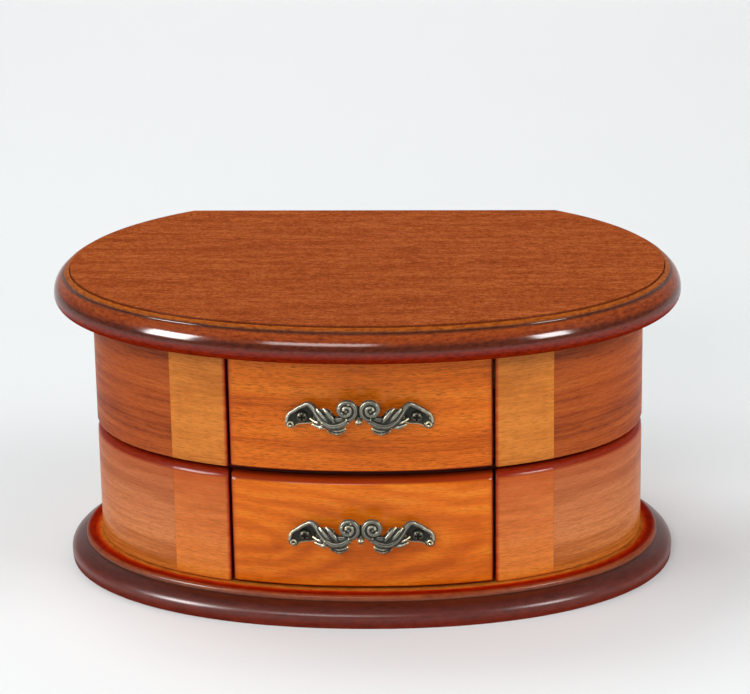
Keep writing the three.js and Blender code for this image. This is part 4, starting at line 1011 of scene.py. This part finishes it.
# %% [markdown]
# ## The scroll pulls
# Each pull is one casting, the same on both sides of the middle. From the middle outwards it has a
# drop, a scroll, a leaf under the scroll, ribs of acanthus, a shoulder and an ear for the screw,
# with a small curl at its tip. A caster would model it in wax from rolled strips and press them
# together. That is done here too: tapered curves and a flat ear are joined, remeshed into one skin
# and smoothed, which leaves the soft valleys of a casting.

# %% Pull: strips of wax
def on_pull(right_mm, up_mm, out_mm):
    """A place on the pull: right of its middle, above the screws, out from the drawer."""
    return Vector((right_mm, -out_mm, up_mm)) * mm


def wax_strip(places, radii):
    """A tapered round strip through the places."""
    clear_selection()
    bpy.ops.curve.primitive_bezier_curve_add(radius=mm)
    strip = bpy.context.object
    points = strip.data.splines[0].bezier_points
    points.add(len(places) - len(points))
    for i, (point, spot) in enumerate(zip(points, places)):
        point.co = on_pull(*spot)
        point.handle_left_type = point.handle_right_type = "AUTO"
        share = i / (len(places) - 1) * (len(radii) - 1)
        low = min(int(share), len(radii) - 2)
        point.radius = radii[low] + (radii[low + 1] - radii[low]) * (share - low)
    strip.data.bevel_depth = mm
    strip.data.bevel_resolution = 3
    strip.data.resolution_u = 6
    strip.data.use_fill_caps = True
    bpy.ops.object.convert(target="MESH")
    return bpy.context.object


def spiral(centre, start_radius, end_radius, turns, out, rise, steps):
    """Places along a scroll that starts below its eye and runs towards the middle first."""
    places = []
    for i in range(steps + 1):
        share = i / steps
        angle = -quarter - 2 * math.pi * turns * share
        radius = start_radius + (end_radius - start_radius) * share
        places.append((centre[0] + radius * math.cos(angle), centre[1] + radius * math.sin(angle),
                       out + rise * share))
    return places


print("strip tool ready")

# %% [markdown]
# The ear is a flat plate with a smooth outline. Balls pressed to ovals make the eye of the scroll
# and the ground under the ribs and the leaf, which strips alone would leave open.

# %% Pull: plates and balls of wax
def wax_plate(outline, low_out, high_out):
    """A flat plate with a smooth outline, standing on the drawer."""
    clear_selection()
    bpy.ops.curve.primitive_bezier_circle_add(radius=mm)
    plate = bpy.context.object
    points = plate.data.splines[0].bezier_points
    points.add(len(outline) - len(points))
    for point, (right_mm, up_mm) in zip(points, outline):
        point.co = Vector((right_mm, up_mm, 0)) * mm
        point.handle_left_type = point.handle_right_type = "AUTO"
    plate.data.dimensions = "2D"
    plate.data.fill_mode = "BOTH"
    plate.data.extrude = (high_out - low_out) / 2 * mm
    plate.data.resolution_u = 5
    plate.rotation_euler = (quarter, 0, 0)
    plate.location = (0, -(high_out + low_out) / 2 * mm, 0)
    bpy.ops.object.convert(target="MESH")
    bpy.ops.object.transform_apply()
    return bpy.context.object


def wax_ball(centre, radii, turn=0.0):
    """A ball pressed to an oval."""
    clear_selection()
    bpy.ops.mesh.primitive_uv_sphere_add(segments=20, ring_count=12, radius=mm)
    ball = bpy.context.object
    ball.scale = (radii[0], radii[2], radii[1])
    ball.rotation_euler = (0, turn, 0)
    ball.location = on_pull(*centre)
    bpy.ops.object.transform_apply()
    return ball


print("plate and ball tools ready")

# %% [markdown]
# Only the right half is laid out, and a mirror gives the left one. All places are in millimetres:
# right of the pull's middle, above the screws, and out from the drawer. The radii of a strip are
# spread evenly along it. A scroll is a spiral whose radius shrinks as it turns. A voxel remesh then
# melts the strips together, finer than the thinnest of them.

# %% Pull: one half, its twin, and the casting
casting_voxel = 0.24
scroll_centre = (5.5, 5.5)
reach = 8.4
scroll = spiral(scroll_centre, start_radius=4.55, end_radius=0.9, turns=1.75, out=reach, rise=1.2, steps=32)
stem = [(4.6, 0.2, 8.5), (6.6, -0.9, 8.5), (9.2, -2.0, 8.5), (12.4, -2.3, 8.0), (15.4, -1.0, 6.8),
        (18.0, 1.6, 5.3), (20.2, 4.6, 3.9), (22.3, 6.1, 3.0), (24.8, 5.3, 2.6), (28.4, 3.2, 2.4),
        (31.8, 0.4, 2.3), (32.4, -2.6, 2.3)]
ear = [(20.4, 5.1), (22.6, 6.2), (25.4, 5.2), (29.0, 3.0), (32.2, 0.0), (33.2, -3.0), (32.1, -5.4),
       (29.8, -5.9), (27.8, -4.3), (24.2, -3.7), (20.4, -3.0), (19.5, -0.6), (19.5, 3.0)]
acanthus_ribs = [
    ([(10.4, -0.6, 8.2), (12.4, 2.0, 7.9), (14.2, 4.2, 7.2), (15.8, 5.6, 6.5)], [1.0, 1.25, 1.15, 0.6]),
    ([(12.6, -1.2, 7.9), (15.4, 1.3, 7.1), (17.4, 3.6, 6.2), (18.8, 5.0, 5.5)], [1.0, 1.25, 1.1, 0.6]),
    ([(13.0, -2.6, 7.6), (17.0, -3.6, 6.0), (21.0, -3.0, 3.8)], [0.8, 1.15, 0.7]),
    ([(14.6, -1.9, 7.0), (18.6, -1.6, 5.4), (22.0, -0.4, 3.4)], [0.6, 0.9, 0.5])]
leaf_folds = [
    ([(5.6, -3.4, 8.3), (10.0, -4.1, 8.8), (14.6, -2.6, 7.6)], [0.5, 1.05, 0.5]),
    ([(6.2, -4.6, 8.0), (10.0, -5.5, 8.5), (13.9, -3.9, 7.4)], [0.5, 1.0, 0.45]),
    ([(7.4, -5.7, 7.6), (10.0, -6.3, 7.9), (12.6, -5.2, 7.2)], [0.4, 0.85, 0.4])]
curl_centre = (31.0, -3.6)
curl = spiral(curl_centre, start_radius=1.45, end_radius=0.4, turns=1.2, out=2.3, rise=0.7, steps=12)
pull_parts = [
    wax_strip(scroll, [1.5, 1.45, 1.3, 1.1, 0.95, 0.9]),
    wax_ball((*scroll_centre, reach + 0.6), (1.3, 1.3, 1.1)),
    wax_ball((*scroll_centre, reach - 0.6), (4.3, 4.3, 0.9)),
    wax_strip(stem, [1.3, 1.5, 1.7, 1.75, 1.8, 1.65, 1.5, 1.35, 1.1, 0.95, 0.85, 0.8]),
    wax_plate(ear, low_out=-1.6, high_out=1.9),
    wax_ball((*curl_centre, 1.8), (2.1, 2.1, 0.8)),
    wax_strip(curl, [0.7, 0.65, 0.6]),
    wax_strip([(4.0, 1.2, 7.5), (10.0, 0.4, 7.3), (15.0, 0.8, 5.8), (19.1, 1.2, 3.3)], [1.7, 1.8, 2.2, 2.2]),
    *(wax_strip(places, radii) for places, radii in acanthus_ribs + leaf_folds),
    wax_ball((9.9, -4.3, 7.5), (4.4, 2.4, 1.3)),
    wax_ball((14.2, 1.6, 6.0), (4.6, 3.0, 1.3), turn=-0.7),
    wax_strip([(11.4, 1.8, 7.6), (12.6, 3.6, 7.2), (13.4, 5.2, 6.8)], [0.8, 1.0, 0.5]),
    wax_strip([(0.0, 2.2, reach), (0.0, 0.2, reach + 0.6), (0.0, -2.4, reach)], [0.5, 1.9, 0.3]),
    wax_ball((0.0, 3.6, reach - 0.9), (2.6, 3.6, 0.8)),
]
wax = join(pull_parts)
wax.name = wax.data.name = "pull_wax"
apply_modifier(wax, "MIRROR", use_mirror_merge=False)
apply_modifier(wax, "REMESH", mode="VOXEL", voxel_size=casting_voxel * mm)
apply_modifier(wax, "SMOOTH", factor=0.5, iterations=3)
print("casting faces:", len(wax.data.polygons))

# %% [markdown]
# The finished casting is copied to both drawers. Its back is filed to the bow of the drawer front:
# every point that would lie inside the wood moves onto its face. A Boolean could cut it too, but it
# would leave an open or ragged back where the casting only just touches the wood.

# %% Pulls in place
pull_heights = {"upper": 100.5, "lower": 43.5}
screw_places = {"left": -25.5, "right": 25.5}
ear_starts = 19.5
pull_seat = front_y(ear_starts)
seat_gap = 0.3
for level, height in pull_heights.items():
    pull = mesh_copy(f"{level}_scroll_pull", wax, merged=False)
    seats = {}
    for vertex in pull.data.vertices:
        vertex.co += Vector((0, pull_seat, height)) * mm
        column = round(vertex.co.x / mm, 1)
        if column not in seats:
            seats[column] = front_y(column, seat_gap) * mm
        vertex.co.y = min(vertex.co.y, seats[column])
    finish_piece(pull, antique_brass, f"{level}_drawer", f"{level}_handle",
                 smooth_below=60)
bpy.data.objects.remove(wax)

# %% [markdown]
# ## The screws
# Each pull is held by two small screws with a domed head and a crossed slot. The head is half a
# ball pressed flat: a block cuts off its rear half, and two narrow blocks cut the slot. A plain
# shank behind it goes into the drawer front.

# %% Screws
head_radius = 2.5
head_height = 1.4
slot_width = 1.0
slot_length = 3.2
slot_floor = 1.1
shank_radius = 1.25
shank_length = 13.0
shank_overlap = 0.1
clear_of_head = 5.0
ear_front = 2.4
head_seat = pull_seat - ear_front - seat_gap
for level, height in pull_heights.items():
    for word, x in screw_places.items():
        clear_selection()
        bpy.ops.mesh.primitive_uv_sphere_add(segments=32, ring_count=16, radius=1)
        screw = bpy.context.object
        screw.name = screw.data.name = f"{level}_{word}_pull_screw"
        screw.scale = Vector((head_radius, head_height, head_radius)) * mm
        screw.location = Vector((x, head_seat, height)) * mm
        bpy.ops.object.transform_apply()
        cut_with_block(screw, (x - clear_of_head, x + clear_of_head), (head_seat, head_seat + clear_of_head),
                       (height - clear_of_head, height + clear_of_head))
        for wide, tall in ((slot_length, slot_width), (slot_width, slot_length)):
            cut_with_block(screw, (x - wide / 2, x + wide / 2),
                           (head_seat - clear_of_head, head_seat - head_height + slot_floor),
                           (height - tall / 2, height + tall / 2))
        shank_middle = Vector((x, head_seat + shank_length / 2 - shank_overlap, height)) * mm
        bpy.ops.mesh.primitive_cylinder_add(vertices=16, radius=shank_radius * mm, depth=shank_length * mm,
                                            location=shank_middle, rotation=(quarter, 0, 0))
        shank = bpy.context.object
        bpy.ops.object.transform_apply()
        join([screw, shank])
        finish_piece(screw, blackened_screw, f"{level}_drawer", f"{level}_handle_{word}_screw")

# %% [markdown]
# ## Metalwork and boards from the frame
# The hinges, the movement and the plain boards already have their right shape in the CAD model.
# A CAD mesh is loose triangles, so it can't shade smoothly. A merged copy can: its doubles are
# merged, its flat faces are dissolved back to whole faces, and a small bevel eases its edges, as a
# file or sandpaper does. That is enough for an edge to catch the light.

# %% Eased copies of CAD nodes
flat_within = math.radians(1)


def eased_copy(node, material, width_mm):
    piece = mesh_copy(f"{node}_eased", nodes[node])
    bpy.ops.object.mode_set(mode="EDIT")
    bpy.ops.mesh.select_all(action="SELECT")
    bpy.ops.mesh.dissolve_limited(angle_limit=flat_within)
    bpy.ops.object.mode_set(mode="OBJECT")
    round_edges(piece, width_mm, sharper_than=35)
    finish_piece(piece, material, nodes[node]["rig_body"], node)


board_edge = 0.4
across_box = ["rear_partition", "tray_board"]
from_front_to_back = ["left_bay_wall", "right_bay_wall"]
for level in ("upper", "lower"):
    across_box += [f"{level}_drawer_back", f"{level}_drawer_bottom"]
    from_front_to_back += [f"{level}_drawer_left_side", f"{level}_drawer_right_side"]
for node in across_box:
    eased_copy(node, inner_wood, board_edge)
for node in from_front_to_back:
    eased_copy(node, side_wood, board_edge)
eased_copy("back_panel", back_wood, board_edge)
# The middle shelf gets the near-black finish, painted shade for the groove it lies in.
eased_copy("middle_shelf", shadow_edge, 0.2)

# %% [markdown]
# The hinges are stamped from brass sheet, and the movement is brass and plated steel. Their edges
# are crisp, so their bevels are much finer than those of the boards. The key is cast and aged like
# the pulls.

# %% Hinges and movement
fine_edge = 0.12
for word in ("left", "right"):
    eased_copy(f"{word}_hinge_body_leaf", satin_brass, fine_edge)
    eased_copy(f"{word}_hinge_lid_leaf", satin_brass, fine_edge)
    eased_copy(f"{word}_hinge_pin", plated_steel, fine_edge)
for node in ("movement_bedplate", "great_wheel", "music_cylinder", "governor_wheel", "governor_fly",
             "stop_pin"):
    eased_copy(node, satin_brass, 0.06)
for node in ("spring_housing", "winding_arbor", "governor_frame"):
    eased_copy(node, plated_steel, 0.15)
eased_copy("music_comb", blued_steel, 0.05)
eased_copy("winding_key", antique_brass, 0.25)

# %% [markdown]
# ## The clear cover
# A sheet of clear acrylic lies over the movement, so that the cylinder shows when the lid is open.
# Acrylic bends light a little less than glass. Its sawn edges are eased with a fine bevel.

# %% Clear cover
acrylic_index = 1.49
clear_acrylic, tree, surface, vector = new_finish("clear_acrylic_sheet")
tint = ramp(tree, noise(tree, vector, 30.0, detail=2), [(0.3, "#f2f7f7"), (0.7, "#fbfdfd")])
feed(tree, surface, {"Transmission Weight": 1.0, "IOR": acrylic_index, "Roughness": 0.03, "Base Color": tint})
eased_copy("movement_cover", clear_acrylic, 0.3)

# %% [markdown]
# ## Velvet and felt
# The floors of the drawers, the wells and the tray are lined with burgundy velvet on card. Velvet
# is a pile of short fibres: looked at along the surface it goes pale, which is the sheen of the
# shader, and where the pile has been stroked it shifts between lighter and darker patches. A felt
# sheet under the base keeps it from scratching a table. Felt has no pile, only matted fibres.

# %% Cloth finishes
velvet, tree, surface, vector = new_finish("burgundy_velvet")
stroked_share = 0.7
stroked = noise(tree, stretched(tree, vector, (1, 0.45, 1)), 11.0, detail=2, distortion=0.6)
pile = noise(tree, vector, 0.35, detail=2, roughness=0.6)
nap = ramp(tree, mixed(tree, pile, stroked, stroked_share),
           [(0.32, "#3f0b16"), (0.5, "#5d1220"), (0.68, "#7c1f2f")])
feed(tree, surface, {"Base Color": nap, "Roughness": 0.95, "Sheen Weight": 0.8, "Sheen Roughness": 0.35,
                     "Sheen Tint": linear("#e0647a")})
roughen(tree, surface, pile, depth_mm=0.15, strength=0.5)

felt, tree, surface, vector = new_finish("green_wool_felt")
fibres = noise(tree, vector, 0.6, detail=5, roughness=0.7, distortion=1.0)
feed(tree, surface, {"Base Color": ramp(tree, fibres, [(0.35, "#173a27"), (0.65, "#2a5e40")]),
                     "Roughness": 0.97, "Sheen Weight": 0.3})
roughen(tree, surface, fibres, depth_mm=0.2, strength=0.6)
print("cloths:", velvet.name, felt.name)

# %% [markdown]
# ## The linings
# Each lining is cut a little small, laid on its floor and glued, so it is nearly flat: its edge is
# turned over the card, which makes a soft round border, and the pile swells slightly in the middle
# of each patch of glue. A grid is the card; its points are raised by a low pillow and a little
# noise, and Solidify gives it its thickness. A cloth simulation would only lay it flat again.

# %% How velvet lies
lining_thickness = 0.54
lining_lift = 0.25
edge_turn = 2.2
edge_height = 0.22
swell_height = 0.072
swell_width = 17.0


def cloth_height(edge_distance, x, y):
    """How high the velvet stands, in millimetres: round at its edge, softly uneven inside."""
    turned = min(edge_distance / edge_turn, 1)
    dome = math.sqrt(max(0.0, 1 - (1 - turned) ** 2)) * edge_height
    return dome + swell_height * still_noise.noise(Vector((x / swell_width, y / swell_width, 3.1)))


def lay_velvet(name, node, body, rows):
    """A sheet of velvet from rows of (x, y, distance to the edge), laid on the floor of its node."""
    low, high = box_in_mm(node)
    card = low.z + lining_lift
    placed = [[(x, y, card + cloth_height(edge, x, y)) for x, y, edge in row] for row in rows]
    sheet = bend_sheet(name, placed, close_rows=False)
    if sheet.data.polygons[0].normal.z < 0:
        sheet.data.flip_normals()
    apply_modifier(sheet, "SOLIDIFY", thickness=lining_thickness * mm, offset=0)
    finish_piece(sheet, velvet, body, node, smooth_below=50)


print("velvet is", lining_thickness, "mm thick")

# %% [markdown]
# The floors of the drawers and the tray are rectangles. A well has one straight side, along the bay
# wall, and one that follows the staves. Both shapes come as rows of points with their distance to
# the nearest edge, because the border is rounded by that distance.

# %% Linings
board_play = 0.4
well_play = 0.5
stave_play = 1.4
weave_step = 2.5
well_lines = 48
well_columns = 14
narrowest = 0.6


def evenly(start, end, steps):
    return [start + (end - start) * i / steps for i in range(steps + 1)]


def rectangle_rows(node):
    low, high = box_in_mm(node)
    columns = int((high.x - low.x) / weave_step)
    lines = int((high.y - low.y) / weave_step)
    return [[(x, y, min(x - low.x, high.x - x, y - low.y, high.y - y) - board_play)
             for x in evenly(low.x + board_play, high.x - board_play, columns)]
            for y in evenly(low.y + board_play, high.y - board_play, lines)]


def well_rows(side):
    """The floor of a well: straight along the bay wall, curved along the staves."""
    low, high = box_in_mm("right_well_lining")
    wall = low.x + board_play
    front, rear = low.y + well_play, high.y - well_play
    curved_side = -block_thickness - stave_play
    rows = []
    for y in evenly(front, rear, well_lines):
        angle_here = solve(lambda angle: plan_point(angle, curved_side)[1] - y, -quarter, quarter)
        edge_x = max(wall + narrowest, plan_point(angle_here, curved_side)[0])
        rows.append([(side * x, y, min(x - wall, edge_x - x, y - front, rear - y))
                     for x in evenly(wall, edge_x, well_columns)])
    return rows


for level in ("upper", "lower"):
    lay_velvet(f"{level}_drawer_velvet", f"{level}_drawer_lining", f"{level}_drawer",
               rectangle_rows(f"{level}_drawer_lining"))
lay_velvet("tray_velvet", "tray_lining", "root", rectangle_rows("tray_lining"))
for word, side in (("right", 1), ("left", -1)):
    lay_velvet(f"{word}_well_velvet", f"{word}_well_lining", "root", well_rows(side))

# %% [markdown]
# The felt is one sheet under the whole base, a little smaller than its foot so that it can't be
# seen. It is a thin slab of the outline with its cut edges softened.

# %% Felt
felt_inset = 4.0
felt_round = 0.4
felt_edge = foot_bulge - felt_inset
felt_back = back_y - felt_inset
felt_rings = [outline_ring(felt_edge - inset, height, felt_back - inset) for inset, height in (
    (felt_round, 0.0), (0.0, 0.3), (0.0, 0.7), (felt_round, felt_thickness))]
felt_sheet = bend_sheet("base_felt_sheet", felt_rings)
finish_piece(felt_sheet, felt, "root", "base_felt")
felt_ring = outline_ring(felt_edge, 0.0, felt_back)

# %% [markdown]
# ## The ring rolls
# Two padded rolls lie side by side in the tray, and rings are pressed into the crease between them.
# Each is a velvet tube round soft filling, drawn in at its ends. The CAD solid gives its place. A
# slightly thinner copy is remeshed to an even skin, and the cloth simulation blows it up with a
# little pressure, so it fills between its held ends and its flat underside as stuffing would.

# %% Filling a roll
roll_press = 4.0
settling_frames = 20


def inflate(roll):
    """Lets the cloth simulation blow up a roll that is held at its ends and below."""
    pick(roll)
    bpy.ops.object.modifier_add(type="CLOTH")
    cloth = roll.modifiers[-1]
    cloth.settings.use_pressure = True
    cloth.settings.uniform_pressure_force = roll_press
    cloth.settings.vertex_group_mass = "held"
    cloth.settings.effector_weights.gravity = 0
    cloth.settings.quality = 4
    scene = bpy.context.scene
    for step in range(1, settling_frames + 1):
        scene.frame_set(step)
    bpy.ops.object.modifier_apply(modifier=cloth.name)
    scene.frame_set(1)


print("a roll settles for", settling_frames, "frames")

# %% [markdown]
# No point may move further than half a millimetre, which keeps the rolls apart. The skin is smoothed
# after that, and its velvet is gathered in small folds at both ends, where the tube is tied off.

# %% Ring rolls
roll_voxel = 1.6
unfilled = 0.955
held_end = 2.5
held_floor = 0.9
furthest = 0.5
gathers = 12
gather_depth = 0.16
gathered_from = 0.8


def padded_roll(name, node):
    low, high = box_in_mm(node)
    centre = (low + high) / 2
    half_length = (high.x - low.x) / 2
    roll = mesh_copy(name, nodes[node])
    for vertex in roll.data.vertices:
        vertex.co = (centre + (vertex.co / mm - centre) * unfilled) * mm
    apply_modifier(roll, "REMESH", mode="VOXEL", voxel_size=roll_voxel * mm)
    rest = [vertex.co.copy() for vertex in roll.data.vertices]
    held = roll.vertex_groups.new(name="held")
    for vertex in roll.data.vertices:
        near_end = abs(vertex.co.x / mm - centre.x) > half_length - held_end
        if near_end or vertex.co.z / mm < low.z + held_floor:
            held.add([vertex.index], 1.0, "REPLACE")
    inflate(roll)
    moved = 0.0
    for vertex, start in zip(roll.data.vertices, rest):
        shift = vertex.co - start
        if shift.length > furthest * mm:
            shift = shift.normalized() * furthest * mm
        vertex.co = start + shift
        moved = max(moved, shift.length)
    apply_modifier(roll, "SMOOTH", factor=0.5, iterations=4)
    for vertex in roll.data.vertices:
        along = abs(vertex.co.x / mm - centre.x) / half_length
        turn = math.atan2(vertex.co.z / mm - centre.z, vertex.co.y / mm - centre.y)
        drawn_in = max(0.0, (along - gathered_from) / (1 - gathered_from))
        gather = gather_depth * math.cos(turn * gathers) * drawn_in
        vertex.co += Vector((0, math.cos(turn), math.sin(turn))) * gather * mm
        vertex.co.z = max(vertex.co.z, low.z * mm)
    apply_modifier(roll, "SUBSURF", levels=1, render_levels=1)
    finish_piece(roll, velvet, "root", node, smooth_below=180)
    print(name, "moved", round(moved / mm, 2), "mm")


padded_roll("front_ring_roll", "ring_roll_front")
padded_roll("rear_ring_roll", "ring_roll_rear")

# %% [markdown]
# ## The floor
# The box stands on a plain pale sweep: a floor that curves up into the backdrop, so that no line
# shows between them. The paper gets lighter and glows a little behind the box, where the
# photographer's light falls on it. Only the camera sees the glow, so it puts no light on the box.

# %% Floor
fades_from = 300
fades_over = 1500
fibre_share = 0.02
full_glow = 0.3
paper, tree, surface, vector = new_finish("pale_studio_paper")
fibre = noise(tree, vector, 3.0)
deeper = axis_of(tree, vector, "Y")
behind = maths(tree, "MULTIPLY_ADD", deeper, 1 / fades_over, -fades_from / fades_over, clamp=True)
backdrop = ramp(tree, behind, [(0, "#e8ebec"), (1, "#ffffff")])
fibrous = blend_colours(tree, maths(tree, "MULTIPLY", fibre, fibre_share), backdrop, linear("#e0e0e0"))
seen = shader_node(tree, "ShaderNodeLightPath").outputs["Is Camera Ray"]
glow = maths(tree, "MULTIPLY_ADD", deeper, full_glow / fades_over, -full_glow * fades_from / fades_over,
             clamp=True)
feed(tree, surface, {"Base Color": fibrous, "Roughness": 0.9, "Specular IOR Level": 0.2,
                     "Emission Color": linear("#ffffff"),
                     "Emission Strength": maths(tree, "MULTIPLY", seen, glow)})

sweep_profile = [(-3.0, 0.0), (0.5, 0.0), (1.0, 0.02), (1.4, 0.1), (1.8, 0.32), (2.05, 0.7), (2.15, 1.2),
                 (2.2, 3.0)]
sweep_half_width = 4.0
clear_selection()
bpy.ops.mesh.primitive_grid_add(x_subdivisions=1, y_subdivisions=len(sweep_profile) - 1, size=1)
sweep = bpy.context.object
sweep.name = "paper_sweep"
corners = [(side * sweep_half_width, y, z) for y, z in sweep_profile for side in (-1, 1)]
for vertex, corner in zip(sweep.data.vertices, corners):
    vertex.co = corner
apply_modifier(sweep, "SUBSURF", levels=3, render_levels=3)
bpy.ops.object.shade_smooth()
sweep.data.materials.append(paper)
print("floor ready")

# %% [markdown]
# ## Light
# Soft lamps stand on both sides, in front and above, and the pale room gives the rest, so that a
# colour on the object comes out about as it is written. The long highlights on the mouldings come
# from two reflectors low in front, a strong one on the left and a weaker one on the right. They give
# no light of their own to the wood and are seen in its gloss only. The lamps at both sides and above
# are hidden from gloss, so the lacquer shows one clear streak on each side and keeps its colour deep.

# %% Lamps and room
aim = Vector((0, 0, 0.1))
for name, place, size, watts, seen_by in (
        ("reflector_left", (-1.35, -1.0, 0.66), (0.5, 0.7), 34.0, "gloss"),
        ("reflector_right", (1.25, -1.1, 0.62), (0.35, 0.5), 14.0, "gloss"),
        ("softbox_left", (-1.2, -0.6, 1.3), (0.8, 0.8), 10.5, "colour"),
        ("front_fill", (-0.35, -1.6, 1.0), (0.7, 0.4), 8.0, "both"),
        ("softbox_right", (1.3, -0.5, 1.1), (0.8, 0.8), 13.0, "colour"),
        ("softbox_above", (-0.4, 0.35, 1.3), (0.6, 0.6), 6.3, "colour")):
    clear_selection()
    bpy.ops.object.light_add(type="AREA", location=place)
    lamp = bpy.context.object
    lamp.name = name
    lamp.data.shape = "RECTANGLE"
    lamp.data.size, lamp.data.size_y = size
    lamp.data.energy = watts
    lamp.visible_diffuse = seen_by != "gloss"
    lamp.visible_glossy = seen_by != "colour"
    lamp.rotation_euler = (aim - Vector(place)).to_track_quat("-Z", "Y").to_euler()

room = bpy.data.worlds.new("pale_room")
bpy.context.scene.world = room
room.use_nodes = True
feed(room.node_tree, room.node_tree.nodes["Background"], {"Color": linear("#eef0f0"), "Strength": 0.33})
bpy.context.scene.view_settings.view_transform = "Standard"
